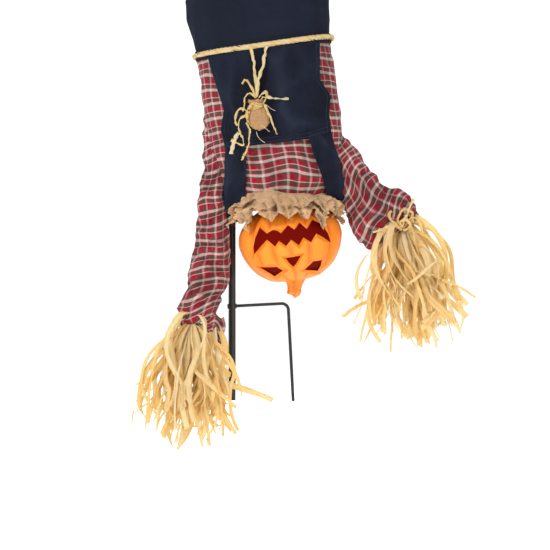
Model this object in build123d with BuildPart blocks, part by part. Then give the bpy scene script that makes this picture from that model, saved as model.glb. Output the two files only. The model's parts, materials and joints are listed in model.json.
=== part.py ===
from build123d import *
import os
from math import cos, radians, sin

# Upside-down scarecrow on a step-in ground stake. Millimetres, +Z up, front towards -Y.
# The origin is the centre of the pole's lower end. The figure hangs head down from a
# cross bar, and leans to one side, so its pieces are placed on planes turned by LEAN.

os.makedirs("parts", exist_ok=True)

# ---------------------------------------------------------------- driving dimensions
POLE_R = 8.0
POLE_BORE_R = 6.8
POLE_JOINT_Z = 430.0        # where the figure's upper pole plugs into the stake's pole
POLE_TOP_Z = 862.0
PLANTING_DEPTH = 200.0
CAP_FLANGE = 3.0
SPIGOT_R = 6.74
SPIGOT_LENGTH = 90.0

PRONG_R = 3.5
PRONG_REACH = 125.0
PRONG_LENGTH = 219.0
PRONG_BEND_R = 15.0
PRONG_LEAN = 3.0
STEP_Z = 210.0

LEAN = 8.0                  # degrees, the figure's legs lean towards -X
BAR_MIDDLE = (113.0, 478.0)  # X and Z of the shoulder bar over the neck
BAR_R = 5.0
BAR_Y = -POLE_R - BAR_R

TORSO_Y = -30.0
# height along the body from the shoulder bar: half width, half depth
TORSO_SECTIONS = {
    -36: (100, 48), 31: (139, 68), 98: (146, 74), 165: (149, 77), 232: (148, 78),
    298: (144, 77),
}
SEAT_SECTIONS = {298: (144, 77), 345: (145, 77), 392: (150, 81), 438: (148, 80)}
CLOTH = 3.0

HIP_H = 470.0
HIP_U = 72.0
HIP_SOCKET_R = 64.0
HIP_BALL_R = 60.0
LEG_SECTIONS = {0: (60, 60), 90: (56, 56), 220: (49, 48), 345: (43, 41)}
ANKLE = 335.0               # from the hip, where the raffia foot is tied in
FOOT_LENGTH = 120.0

HEAD_H = -124.0
HEAD_R = 115.0
HEAD_WALL = 6.0
HEAD_Y = -26.0
POST_R = 9.5
POST_BORE_R = 7.5
POST_END = 53.0             # the post's lower end, from the middle of the head
RUNNING_GAP = 0.06

ARM_WIRE_R = 3.0
BOLT_R = 3.0
TAB_R = 9.0
TAB_THICKNESS = 4.0
TAB_GAP = 0.1
HANGING_PIVOT_U = -160.0
RAISED_PIVOT_U = 150.0
HANGING_WRIST = (-77.0, -66.0, 188.0)
RAISED_WRIST = (376.0, -44.0, 392.0)
RAISED_ARM_SLOPE = -41.0
WRIST_TAB_R = 6.0
WRIST_PIN_R = 2.0

BOX_U, BOX_H = 20.0, 150.0
BOX_WIDTH, BOX_HEIGHT, BOX_DEPTH, BOX_WALL = 58.0, 84.0, 24.0, 2.0
BOX_BACK_Y = 57.0
CELL_R, CELL_LENGTH = 7.1, 50.0


# ---------------------------------------------------------------- planes of the figure
LEAN_COS, LEAN_SIN = cos(radians(LEAN)), sin(radians(LEAN))
ALONG_BAR = (LEAN_COS, 0, LEAN_SIN)
ALONG_BODY = (-LEAN_SIN, 0, LEAN_COS)


def spot(u, y, h):
    """The point u along the shoulder bar and h along the body, at depth y."""
    return Vector(
        BAR_MIDDLE[0] + u * LEAN_COS - h * LEAN_SIN,
        y,
        BAR_MIDDLE[1] + u * LEAN_SIN + h * LEAN_COS,
    )


def level(h, u=0.0, y=0.0):
    """A plane across the body: x along the bar, y backwards, normal towards the legs."""
    return Plane(origin=spot(u, y, h), x_dir=ALONG_BAR, z_dir=ALONG_BODY)


def front(u=0.0, h=0.0, y=0.0):
    """A plane facing the front: x along the bar, y along the body, normal to the viewer."""
    return Plane(origin=spot(u, y, h), x_dir=ALONG_BAR, z_dir=(0, -1, 0))


def sideways(u=0.0, h=0.0, y=0.0):
    """A plane across the bar: normal along the bar."""
    return Plane(origin=spot(u, y, h), x_dir=(0, 1, 0), z_dir=ALONG_BAR)


# ---------------------------------------------------------------- ground stake
prong_cos, prong_sin = cos(radians(PRONG_LEAN)), sin(radians(PRONG_LEAN))
prong_plane = Plane(
    origin=(0, 0, STEP_Z), x_dir=(prong_cos, 0, prong_sin), z_dir=(0, -1, 0)
)
prong_stub = POLE_R + 2.5

with BuildPart() as step_prong:
    with BuildLine(prong_plane) as prong_path:
        prong_bend = FilletPolyline(
            (-prong_stub, 0), (PRONG_REACH, 0), (PRONG_REACH, -PRONG_LENGTH),
            radius=PRONG_BEND_R,
        )
    with BuildSketch(Plane(origin=prong_bend @ 0, z_dir=prong_bend % 0)):
        Circle(PRONG_R)
    sweep()
    fillet(step_prong.faces().sort_by(Axis.Z)[0].edges(), radius=1.5)

with BuildPart() as prong_welds:
    with BuildSketch(Plane(origin=(0, 0, STEP_Z), x_dir=(0, 1, 0), z_dir=prong_bend % 0)):
        Circle(PRONG_R + 2.2)
    extrude(amount=POLE_R + 2.0, both=True)
    Cylinder(POLE_R, 2 * STEP_Z + 60, mode=Mode.SUBTRACT)
    add(step_prong.part, mode=Mode.SUBTRACT)

with BuildPart() as lower_pole:
    with BuildSketch(Plane.XY.offset(CAP_FLANGE)):
        Circle(POLE_R)
        Circle(POLE_BORE_R, mode=Mode.SUBTRACT)
    extrude(amount=POLE_JOINT_Z - CAP_FLANGE)
    add(step_prong.part, mode=Mode.SUBTRACT)
    # a ring rolled into the tube marks how deep it goes into the ground
    with BuildSketch(Plane.XY.offset(PLANTING_DEPTH)):
        Circle(POLE_R + 1)
        Circle(POLE_R - 0.5, mode=Mode.SUBTRACT)
    extrude(amount=2, mode=Mode.SUBTRACT)

with BuildPart() as pole_end_cap:
    with BuildSketch():
        Circle(POLE_R)
    extrude(amount=CAP_FLANGE)
    chamfer(pole_end_cap.faces().sort_by(Axis.Z)[0].edges(), length=0.4)
    with BuildSketch(Plane.XY.offset(CAP_FLANGE)):
        Circle(POLE_BORE_R)
    extrude(amount=18)

# ---------------------------------------------------------------- the figure's steel frame
with BuildPart() as upper_pole:
    with BuildSketch(Plane.XY.offset(POLE_JOINT_Z)):
        Circle(POLE_R)
        Circle(POLE_BORE_R, mode=Mode.SUBTRACT)
    extrude(amount=POLE_TOP_Z - POLE_JOINT_Z)

with BuildPart() as pole_spigot:
    with BuildSketch(Plane.XY.offset(POLE_JOINT_Z - SPIGOT_LENGTH)):
        Circle(SPIGOT_R)
        Circle(SPIGOT_R - 1.5, mode=Mode.SUBTRACT)
    extrude(amount=2 * SPIGOT_LENGTH)
    chamfer(pole_spigot.faces().sort_by(Axis.Z)[0].outer_wire().edges(), length=0.8)

with BuildPart() as spigot_rivet:
    with BuildSketch(Plane.XZ.offset(-POLE_R - 1)):
        with Locations((0, POLE_JOINT_Z + 45)):
            Circle(2)
    extrude(amount=2 * POLE_R + 2)

with BuildPart() as drilled_upper_pole:
    add(upper_pole.part)
    add(spigot_rivet.part, mode=Mode.SUBTRACT)

with BuildPart() as drilled_spigot:
    add(pole_spigot.part)
    add(spigot_rivet.part, mode=Mode.SUBTRACT)

with BuildPart() as pole_top_plug:
    with BuildSketch(Plane.XY.offset(POLE_TOP_Z)):
        Circle(POLE_R)
    extrude(amount=CAP_FLANGE)
    fillet(pole_top_plug.faces().sort_by(Axis.Z)[-1].edges(), radius=2.0)
    with BuildSketch(Plane.XY.offset(POLE_TOP_Z)):
        Circle(POLE_BORE_R)
    extrude(amount=-16)

with BuildPart() as shoulder_bar:
    with BuildSketch(sideways(HANGING_PIVOT_U, 0, BAR_Y)):
        Circle(BAR_R)
    extrude(amount=RAISED_PIVOT_U - HANGING_PIVOT_U)
    for pivot_u in (HANGING_PIVOT_U, RAISED_PIVOT_U):
        with BuildSketch(front(pivot_u, 0, BAR_Y + TAB_THICKNESS / 2)):
            Circle(TAB_R)
        extrude(amount=TAB_THICKNESS)
        # the rod's end is pressed flat into the tab
        for side in (1, -1):
            face_y = BAR_Y - side * TAB_THICKNESS / 2
            with BuildSketch(front(pivot_u, 0, face_y)):
                Rectangle(2.6 * TAB_R, 2.6 * TAB_R)
            extrude(amount=side * BAR_R, mode=Mode.SUBTRACT)
        with BuildSketch(front(pivot_u, 0, BAR_Y)):
            Circle(BOLT_R)
        extrude(amount=TAB_THICKNESS, both=True, mode=Mode.SUBTRACT)

post_bottom_h = HEAD_H + POST_END
with BuildPart() as neck_post:
    with BuildSketch(level(post_bottom_h, 0, HEAD_Y)):
        Circle(POST_R)
        Circle(POST_BORE_R, mode=Mode.SUBTRACT)
    extrude(amount=14 - post_bottom_h)
    with BuildSketch(sideways(-30, 0, BAR_Y)):
        Circle(BAR_R)
    extrude(amount=60, mode=Mode.SUBTRACT)

with BuildPart() as hip_bar:
    with BuildSketch(sideways(-112, HIP_H, BAR_Y)):
        Circle(BAR_R)
    extrude(amount=224)

with BuildPart() as hip_yoke:
    with BuildLine(front(0, 0, BAR_Y)) as yoke_path:
        yoke_line = FilletPolyline((-64, 372), (0, 372), (0, HIP_H), radius=22)
    with BuildSketch(Plane(origin=yoke_line @ 0, z_dir=yoke_line % 0)):
        Circle(BAR_R)
    sweep()
    add(hip_bar.part, mode=Mode.SUBTRACT)

with BuildPart() as frame_welds:
    with BuildSketch(front(-114, 0, BAR_Y - 2)):
        Circle(BAR_R + 3)
    extrude(amount=-9)
    with BuildSketch(front(-62, 372, BAR_Y - 2)):
        Circle(BAR_R + 3)
    extrude(amount=-9)
    add(shoulder_bar.part, mode=Mode.SUBTRACT)
    add(hip_yoke.part, mode=Mode.SUBTRACT)
    Cylinder(
        POLE_R, 2 * POLE_TOP_Z + 20, align=(Align.CENTER, Align.CENTER, Align.CENTER),
        mode=Mode.SUBTRACT,
    )

with BuildPart() as hip_retainers:
    for side in (-1, 1):
        with BuildSketch(sideways(side * 93, HIP_H, BAR_Y)):
            Circle(BAR_R + 3.5)
            Circle(BAR_R, mode=Mode.SUBTRACT)
        extrude(amount=2.5, both=True)


# ---------------------------------------------------------------- the pumpkin head
def head_level(h):
    return level(HEAD_H + h, 0, HEAD_Y)


def head_profile(inset):
    """Half of the pumpkin's section, from the neck rim round to the stem."""
    shrink = (HEAD_R - inset) / HEAD_R
    section = [
        (34, 74), (58, 75), (90, 56), (110, 30), (115.5, 5),
        (111, -17), (102.5, -38), (87, -60), (50, -84), (18, -90),
    ]
    return [(x * shrink, y * shrink) for x, y in section]


head_section = Plane(origin=spot(0, HEAD_Y, HEAD_H), x_dir=ALONG_BAR, z_dir=(0, -1, 0))
head_axis = Axis(origin=spot(0, HEAD_Y, HEAD_H), direction=ALONG_BODY)


def turned_shell(outer_inset, inner_inset):
    """The pumpkin's wall between two insets, before any opening is cut."""
    with BuildPart(mode=Mode.PRIVATE) as turned:
        with BuildSketch(head_section):
            with BuildLine():
                ends = [(1, 0.3), (-1, -0.1)]
                outside = Spline(*head_profile(outer_inset), tangents=ends)
                inside = Spline(*head_profile(inner_inset), tangents=ends)
                Line(outside @ 0, inside @ 0)
                Polyline(outside @ 1, (0, (outside @ 1).Y), (0, (inside @ 1).Y), inside @ 1)
            make_face()
        revolve(axis=head_axis)
    return turned.part


# Jack-o'-lantern openings as seen from the front: x across the face, y towards the neck.
MOUTH = [
    (-84, -19), (-83, -2), (-76, 17), (-63, 38), (-50, 21), (-36, 27), (-27, 24),
    (-19, 16), (-2, 32), (11, 20), (24, 34), (38, 18), (53, 38), (74, 22), (83, 5),
    (86, -16), (57, 8), (43, -9), (28, 4), (16, -11), (1, 3), (-12, -9), (-26, 4),
    (-36, -7), (-51, 10),
]
NOSE = [(-15, -38), (15, -37), (-1, -58)]
EYES = [
    [(-75, -49), (-38, -54), (-26, -63), (-46, -73)],
    [(21, -68), (42, -53), (62, -52), (58, -63), (50, -74)],
]

with BuildPart() as head_stem:
    with BuildSketch(head_level(-87)):
        Circle(20)
    with BuildSketch(level(HEAD_H - 98, -2, HEAD_Y - 1)):
        Circle(14)
    with BuildSketch(level(HEAD_H - 113, -7, HEAD_Y - 3)):
        Circle(14.5)
    with BuildSketch(level(HEAD_H - 122, -9, HEAD_Y - 4)):
        Circle(9)
    loft()

with BuildPart() as head_shell:
    add(turned_shell(0, HEAD_WALL))
    add(head_stem.part)
    for outline in (MOUTH, NOSE, *EYES):
        with BuildSketch(front(0, HEAD_H, HEAD_Y - 28)):
            with BuildLine():
                Polyline(*outline, close=True)
            make_face()
        extrude(amount=HEAD_R, mode=Mode.SUBTRACT)

LINER_GAP = 0.3
LINER_THICKNESS = 1.4
with BuildPart() as head_liner:
    add(turned_shell(HEAD_WALL + LINER_GAP, HEAD_WALL + LINER_GAP + LINER_THICKNESS))
    # the film lies only behind the face, clear of the socket's flange
    with BuildSketch(front(0, HEAD_H - 20, HEAD_Y - 20)):
        Rectangle(2.2 * HEAD_R, 180)
    extrude(amount=HEAD_R, mode=Mode.INTERSECT)

SOCKET_FLANGE_R = 46.0
SOCKET_FLANGE_H = 76.0
SOCKET_TOP = SOCKET_FLANGE_H + 4
with BuildPart() as head_socket:
    with BuildSketch(head_level(SOCKET_FLANGE_H)):
        Circle(SOCKET_FLANGE_R)
    extrude(amount=3)
    with BuildSketch(head_level(POST_END + TAB_GAP)):
        Circle(POST_R + 4)
    extrude(amount=SOCKET_TOP - POST_END - TAB_GAP)
    with BuildSketch(head_level(POST_END - 5)):
        Circle(POST_R + RUNNING_GAP)
    extrude(amount=50, mode=Mode.SUBTRACT)
    with BuildSketch(head_level(SOCKET_FLANGE_H - 10)):
        with PolarLocations(SOCKET_FLANGE_R - 5.5, 4, start_angle=45):
            Circle(1.6)
    extrude(amount=30, mode=Mode.SUBTRACT)
    add(turned_shell(0, HEAD_WALL), mode=Mode.SUBTRACT)

with BuildPart() as head_screws:
    with BuildSketch(head_level(SOCKET_FLANGE_H - 5)):
        with PolarLocations(SOCKET_FLANGE_R - 5.5, 4, start_angle=45):
            Circle(1.5)
    extrude(amount=8)
    with BuildSketch(head_level(SOCKET_FLANGE_H + 3)):
        with PolarLocations(SOCKET_FLANGE_R - 5.5, 4, start_angle=45):
            Circle(3.2)
    extrude(amount=2)

# keeps the head from riding up the post
with BuildPart() as neck_clip:
    with BuildSketch(head_level(SOCKET_TOP + TAB_GAP)):
        Circle(POST_R + 4)
        Circle(POST_R, mode=Mode.SUBTRACT)
    extrude(amount=3)

with BuildPart() as head_with_screw_holes:
    add(head_shell.part)
    with BuildSketch(head_level(SOCKET_FLANGE_H - 6)):
        with PolarLocations(SOCKET_FLANGE_R - 5.5, 4, start_angle=45):
            Circle(1.6)
    extrude(amount=20, mode=Mode.SUBTRACT)

# light unit on the end of the neck post; its rim also keeps the head on the post
LAMP_H = POST_END
with BuildPart() as lamp_holder:
    with BuildSketch(head_level(LAMP_H - 8)):
        Circle(POST_R + 5)
    extrude(amount=8)
    with BuildSketch(head_level(LAMP_H)):
        Circle(POST_BORE_R - 0.2)
    extrude(amount=12)
    with BuildSketch(head_level(LAMP_H - 10)):
        Circle(2)
    extrude(amount=30, mode=Mode.SUBTRACT)
    with BuildSketch(head_level(LAMP_H - 8)):
        with PolarLocations(9, 3):
            Circle(2.5)
    extrude(amount=3, mode=Mode.SUBTRACT)

with BuildPart() as lamp_leds:
    with BuildSketch(head_level(LAMP_H - 5)):
        with PolarLocations(9, 3):
            Circle(2.45)
    extrude(amount=-9)
    fillet(lamp_leds.faces().group_by(Axis(spot(0, 0, 0), ALONG_BODY))[0].edges(), radius=2.2)

# ---------------------------------------------------------------- battery box at the back
box_front_y = BOX_BACK_Y - BOX_DEPTH
CABLE_Y = box_front_y + 9
door_width, door_height, door_thickness = BOX_WIDTH - 10, 60.0, 2.0
door_y = BOX_BACK_Y - door_thickness

with BuildPart() as battery_box:
    with BuildSketch(front(BOX_U, BOX_H, BOX_BACK_Y)):
        RectangleRounded(BOX_WIDTH, BOX_HEIGHT, 4)
    extrude(amount=BOX_DEPTH)
    # cell bay, closed by the door, then the door's own recess and side grooves
    with BuildSketch(front(BOX_U, BOX_H - 4, BOX_BACK_Y + 1)):
        Rectangle(3 * 2 * CELL_R + 2, CELL_LENGTH + 5)
    extrude(amount=BOX_DEPTH - BOX_WALL + 1, mode=Mode.SUBTRACT)
    with BuildSketch(front(BOX_U, BOX_H - 4, BOX_BACK_Y + 1)):
        Rectangle(door_width + 0.6, door_height + 0.6)
    extrude(amount=door_thickness + 1.3, mode=Mode.SUBTRACT)
    with BuildSketch(front(BOX_U, BOX_H - 40, BOX_BACK_Y + 1)):
        Rectangle(door_width + 0.6, 40)
    extrude(amount=door_thickness + 1.3, mode=Mode.SUBTRACT)
    # slot for the switch, and the cable's way out
    with BuildSketch(front(BOX_U, BOX_H + 34, BOX_BACK_Y)):
        Rectangle(16, 6)
    extrude(amount=8, mode=Mode.SUBTRACT)
    with BuildSketch(level(100, 0, CABLE_Y)):
        Circle(1.8)
    extrude(amount=19, mode=Mode.SUBTRACT)

with BuildPart() as battery_door:
    with BuildSketch(front(BOX_U, BOX_H - 4, BOX_BACK_Y)):
        Rectangle(door_width, door_height)
    extrude(amount=door_thickness)
    # finger ridges
    with BuildSketch(front(BOX_U, BOX_H - 24, BOX_BACK_Y)):
        with GridLocations(0, 4, 1, 4):
            SlotOverall(24, 1.6)
    extrude(amount=-0.8)

with BuildPart() as power_switch:
    with BuildSketch(front(BOX_U - 3, BOX_H + 34, BOX_BACK_Y + 2.5)):
        Rectangle(6, 5.4)
    extrude(amount=8)

cell_y = box_front_y + BOX_WALL + CELL_R + 1.5
with BuildPart() as battery_cells:
    with BuildSketch(level(BOX_H - 4 - CELL_LENGTH / 2, BOX_U, cell_y)):
        with GridLocations(2 * CELL_R + 0.3, 0, 3, 1):
            Circle(CELL_R)
    extrude(amount=CELL_LENGTH - 1)
    with BuildSketch(level(BOX_H - 4 + CELL_LENGTH / 2 - 1, BOX_U, cell_y)):
        with GridLocations(2 * CELL_R + 0.3, 0, 3, 1):
            Circle(2.6)
    extrude(amount=1)

with BuildPart() as battery_contacts:
    for end in (-1, 1):
        with BuildSketch(level(BOX_H - 4 + end * (CELL_LENGTH / 2 + 1.3), BOX_U, cell_y)):
            Rectangle(3 * 2 * CELL_R - 2, 9)
        extrude(amount=0.4, both=True)

with BuildPart() as lamp_cable:
    with BuildLine(sideways()):
        cable_run = FilletPolyline(
            (CABLE_Y, 117), (CABLE_Y, 100), (HEAD_Y, 24), (HEAD_Y, HEAD_H + LAMP_H + 16),
            radius=10,
        )
    with BuildSketch(Plane(origin=cable_run @ 0, z_dir=cable_run % 0)):
        Circle(1.5)
    sweep()

# room for the cable in the shirt and stuffing: a slanted hole from the box to the neck post
tunnel_top = spot(0, CABLE_Y + 8, 109)
tunnel_foot = spot(0, HEAD_Y - 8, 15)
with BuildPart() as cable_room:
    with BuildSketch(
        Plane(origin=tunnel_top, z_dir=tuple((tunnel_foot - tunnel_top).normalized()))
    ):
        Circle(9)
    extrude(amount=(tunnel_foot - tunnel_top).length)


# ---------------------------------------------------------------- clothes and stuffing
def body_solid(sections, inset):
    """The clothed body's smooth shape through its sections, inset all round."""
    with BuildPart(mode=Mode.PRIVATE) as body:
        for h, (half_width, half_depth) in sections.items():
            with BuildSketch(level(h, 0, TORSO_Y)):
                Ellipse(half_width - inset, half_depth - inset)
        loft()
    return body.part


def box_room(gap):
    """The space of the battery box with a gap all round, open to the back."""
    with BuildPart(mode=Mode.PRIVATE) as room:
        with BuildSketch(front(BOX_U, BOX_H, BOX_BACK_Y + 60)):
            Rectangle(BOX_WIDTH + 2 * gap, BOX_HEIGHT + 2 * gap)
        extrude(amount=60 + BOX_DEPTH + gap)
    return room.part


def frame_room(gap):
    """The space of the steel frame inside the clothes, with a gap all round."""
    with BuildPart(mode=Mode.PRIVATE) as room:
        Cylinder(POLE_R + gap, POLE_TOP_Z + 10, align=(Align.CENTER, Align.CENTER, Align.MIN))
        with BuildSketch(sideways(-200, 0, BAR_Y)):
            Circle(BAR_R + gap)
        extrude(amount=400)
        with BuildLine(front(0, 0, BAR_Y)):
            bend = FilletPolyline((-72, 372), (0, 372), (0, HIP_H), radius=22)
        with BuildSketch(Plane(origin=bend @ 0, z_dir=bend % 0)):
            Circle(BAR_R + gap)
        sweep()
        with BuildSketch(level(-60, 0, HEAD_Y)):
            Circle(POST_R + gap)
        extrude(amount=80)
        for weld_u, weld_h in ((-114, 0), (-62, 372)):
            with BuildSketch(front(weld_u, weld_h, 10)):
                Circle(BAR_R + 3 + gap)
            extrude(amount=28)
        with BuildSketch(Plane.XZ.offset(-POLE_R - 2 - gap)):
            with Locations((0, POLE_JOINT_Z + 45)):
                Circle(2 + gap)
        extrude(amount=2 * (POLE_R + 2 + gap))
    return room.part


def hip_room(radius):
    """Two balls of space round the hips."""
    with BuildPart(mode=Mode.PRIVATE) as room:
        with Locations(spot(-HIP_U, BAR_Y, HIP_H), spot(HIP_U, BAR_Y, HIP_H)):
            Sphere(radius)
    return room.part


WAIST_H = 298.0
with BuildPart() as shirt_body:
    add(body_solid(TORSO_SECTIONS, 0))
    add(body_solid(TORSO_SECTIONS, CLOTH), mode=Mode.SUBTRACT)
    add(box_room(0.5), mode=Mode.SUBTRACT)
    add(frame_room(1.5), mode=Mode.SUBTRACT)
    add(cable_room.part, mode=Mode.SUBTRACT)

with BuildPart() as torso_stuffing:
    add(body_solid(TORSO_SECTIONS, CLOTH + 0.4))
    add(box_room(0.5), mode=Mode.SUBTRACT)
    add(frame_room(0.5), mode=Mode.SUBTRACT)
    add(cable_room.part, mode=Mode.SUBTRACT)

with BuildPart() as overalls_seat:
    add(body_solid(SEAT_SECTIONS, -0.5 - CLOTH))
    add(body_solid(SEAT_SECTIONS, -0.5), mode=Mode.SUBTRACT)
    add(hip_room(HIP_SOCKET_R), mode=Mode.SUBTRACT)

with BuildPart() as seat_stuffing:
    add(body_solid(SEAT_SECTIONS, 0))
    add(frame_room(0.5), mode=Mode.SUBTRACT)
    add(hip_room(HIP_SOCKET_R), mode=Mode.SUBTRACT)

over_torso = body_solid(TORSO_SECTIONS, -0.5)
over_cloth = body_solid(TORSO_SECTIONS, -0.5 - CLOTH)

# bib: its hem lies across the chest and its sides widen to the waist
BIB = [
    (-118, 94), (0, 92), (121, 98), (122, 140), (130, 185), (117, 235), (124, WAIST_H),
    (-124, WAIST_H), (-121, 272), (-106, 180), (-118, 138),
]
with BuildPart() as overalls_bib:
    with BuildSketch(front(0, 0, TORSO_Y - 10)):
        with BuildLine():
            Polyline(*BIB, close=True)
        make_face()
    extrude(amount=120)
    add(over_cloth, mode=Mode.INTERSECT)
    add(over_torso, mode=Mode.SUBTRACT)


def strap(front_outline, back_outline):
    """A denim band from the bib, under the shoulder and up the back to the seat."""
    with BuildPart(mode=Mode.PRIVATE) as band:
        with BuildSketch(front(0, 0, TORSO_Y)):
            with BuildLine():
                Polyline(*front_outline, close=True)
            make_face()
        extrude(amount=150)
        with BuildSketch(front(0, 0, TORSO_Y)):
            with BuildLine():
                Polyline(*back_outline, close=True)
            make_face()
        extrude(amount=-150)
        add(over_cloth, mode=Mode.INTERSECT)
        add(over_torso, mode=Mode.SUBTRACT)
        add(frame_room(1.5), mode=Mode.SUBTRACT)
    return band.part


hanging_side_strap = strap(
    [(-113, 93.5), (-67, 92.5), (-84, 0), (-92, -60), (-132, -60), (-124, 0)],
    [(-92, -60), (-132, -60), (-124, 0), (-96, WAIST_H), (-56, WAIST_H), (-84, 0)],
)
raised_side_strap = strap(
    [(69, 94.5), (120, 97), (126, 0), (132, -60), (92, -60), (86, 0)],
    [(132, -60), (92, -60), (86, 0), (64, WAIST_H), (104, WAIST_H), (126, 0)],
)

# burlap ruffle round the neck: a gathered top under the shirt and a skirt over the head,
# its edge cut into pointed flaps
COLLAR_PROFILE = [
    (42, -36.2), (104, -36.2), (120, -50), (124, -98),
    (121.5, -98), (117.5, -51.5), (103, -38.7), (42, -38.7),
]
with BuildPart() as collar_ruffle:
    with BuildSketch(front(0, 0, HEAD_Y)):
        Polygon(*COLLAR_PROFILE, align=None)
    revolve(axis=Axis(origin=spot(0, HEAD_Y, 0), direction=ALONG_BODY))
    for turn in range(0, 360, 30):
        notch = level(-100, 0, HEAD_Y).rotated((0, 0, turn + 8)) * Plane.XZ
        with BuildSketch(notch):
            Polygon((-24, -5), (24, -5), (3 if turn % 60 else -6, 34 if turn % 90 else 22), align=None)
        extrude(amount=180, mode=Mode.SUBTRACT)
    Cylinder(
        POLE_R + 3, 600, align=(Align.CENTER, Align.CENTER, Align.MIN), mode=Mode.SUBTRACT
    )

# ---------------------------------------------------------------- waist belt and pouch
BELT_H = 308.0
with BuildPart() as waist_raffia:
    with BuildSketch(level(BELT_H - 6, 0, TORSO_Y)):
        Ellipse(152, 85)
    with BuildSketch(level(BELT_H + 6, 0, TORSO_Y)):
        Ellipse(152, 85)
    loft()
    add(body_solid(SEAT_SECTIONS, -0.5 - CLOTH - 0.2), mode=Mode.SUBTRACT)

POUCH_U = -33.0
POUCH_Y = -124.0
# height: half width, half depth
POUCH_SECTIONS = {
    126: (15, 7), 134: (20, 11), 150: (21.5, 12.5), 166: (18, 11), 178: (10, 8),
    188: (15, 10),
}
with BuildPart() as pouch:
    for h, (half_width, half_depth) in POUCH_SECTIONS.items():
        with BuildSketch(level(h, POUCH_U, POUCH_Y)):
            Ellipse(half_width, half_depth)
    loft()

with BuildPart() as pouch_raffia:
    with BuildSketch(level(175.5, POUCH_U, POUCH_Y)):
        Ellipse(13, 11)
    extrude(amount=5)
    for side in (-1, 1):
        with BuildLine():
            strand = Spline(
                spot(POUCH_U + side * 8, POUCH_Y - 2, 178),
                spot(POUCH_U + side * 9, POUCH_Y + 1, 230),
                spot(POUCH_U + side * 16, POUCH_Y + 4, 285),
                spot(POUCH_U + side * 22, TORSO_Y - 84, 306),
            )
        with BuildSketch(Plane(origin=strand @ 0, z_dir=strand % 0)):
            Circle(1.6)
        sweep()
    add(pouch.part, mode=Mode.SUBTRACT)
    add(waist_raffia.part, mode=Mode.SUBTRACT)
    add(over_cloth, mode=Mode.SUBTRACT)
    add(body_solid(SEAT_SECTIONS, -0.5 - CLOTH - 0.2), mode=Mode.SUBTRACT)

# ---------------------------------------------------------------- arms
arm_tab_y = BAR_Y - TAB_THICKNESS - TAB_GAP
hanging_pivot = spot(HANGING_PIVOT_U, arm_tab_y, 0)
raised_pivot = spot(RAISED_PIVOT_U, arm_tab_y, 0)


def pivot_plane(pivot, y):
    """A front-facing plane through a pivot at depth y."""
    return Plane(origin=(pivot.X, y, pivot.Z), x_dir=(1, 0, 0), z_dir=(0, -1, 0))


with BuildPart() as shoulder_bolts:
    for pivot in (hanging_pivot, raised_pivot):
        tab_front = arm_tab_y - TAB_THICKNESS / 2
        with BuildSketch(pivot_plane(pivot, BAR_Y + TAB_THICKNESS / 2)):
            Circle(BOLT_R)
        extrude(amount=BAR_Y + TAB_THICKNESS / 2 - tab_front + TAB_GAP)
        with BuildSketch(pivot_plane(pivot, tab_front - TAB_GAP)):
            RegularPolygon(6, 6)
        extrude(amount=3)
        with BuildSketch(pivot_plane(pivot, BAR_Y + TAB_THICKNESS / 2)):
            RegularPolygon(6, 6)
        extrude(amount=-3)


def arm_wire(pivot, wrist, through):
    """Wire from the shoulder tab to the wrist tab, both drilled from front to back."""
    with BuildPart(mode=Mode.PRIVATE) as wire:
        with BuildLine():
            run = Spline(pivot, *through, Vector(*wrist))
        with BuildSketch(Plane(origin=run @ 0, z_dir=run % 0)):
            Circle(ARM_WIRE_R)
        sweep()
        for middle, radius in ((pivot, TAB_R), (Vector(*wrist), WRIST_TAB_R)):
            with BuildSketch(pivot_plane(middle, middle.Y + TAB_THICKNESS / 2)):
                Circle(radius)
            extrude(amount=TAB_THICKNESS)
            for side in (-1, 1):
                with BuildSketch(pivot_plane(middle, middle.Y + side * TAB_THICKNESS / 2)):
                    Circle(1.1 * radius)
                extrude(amount=-side * 8, mode=Mode.SUBTRACT)
        for middle, hole_r in ((pivot, BOLT_R), (Vector(*wrist), WRIST_PIN_R)):
            with BuildSketch(pivot_plane(middle, middle.Y)):
                Circle(hole_r + RUNNING_GAP)
            extrude(amount=20, both=True, mode=Mode.SUBTRACT)
    return wire.part


HANGING_WIRE_BENDS = [Vector(-46, -20, 435), Vector(-52, -50, 330)]
RAISED_WIRE_BENDS = [Vector(278, -21, 485), Vector(330, -40, 437)]
hanging_arm_wire = arm_wire(hanging_pivot, HANGING_WRIST, HANGING_WIRE_BENDS)
raised_arm_wire = arm_wire(raised_pivot, RAISED_WRIST, RAISED_WIRE_BENDS)


def sleeve_solid(sections, inset):
    """A sleeve's shape through planes with half width and half depth, inset all round."""
    with BuildPart(mode=Mode.PRIVATE) as sleeve:
        for plane, half_width, half_depth in sections:
            with BuildSketch(plane):
                Ellipse(half_width - inset, half_depth - inset)
        loft()
    return sleeve.part


def wire_room(pivot, through, wrist, gap):
    with BuildPart(mode=Mode.PRIVATE) as room:
        with BuildLine():
            run = Spline(pivot, *through, Vector(*wrist))
        with BuildSketch(Plane(origin=run @ 0, z_dir=run % 0)):
            Circle(ARM_WIRE_R + gap)
        sweep()
    return room.part


def hanging_section(x, y, z):
    return Plane(origin=(x, y, z), x_dir=(1, 0, 0), z_dir=(0, 0, 1))


arm_along = Vector(cos(radians(RAISED_ARM_SLOPE)), 0, sin(radians(RAISED_ARM_SLOPE)))
arm_across = Vector(-arm_along.Z, 0, arm_along.X)


def raised_section(along, across, y):
    middle = raised_pivot + arm_along * along + arm_across * across
    return Plane(origin=(middle.X, y, middle.Z), x_dir=tuple(arm_across), z_dir=tuple(arm_along))


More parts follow.
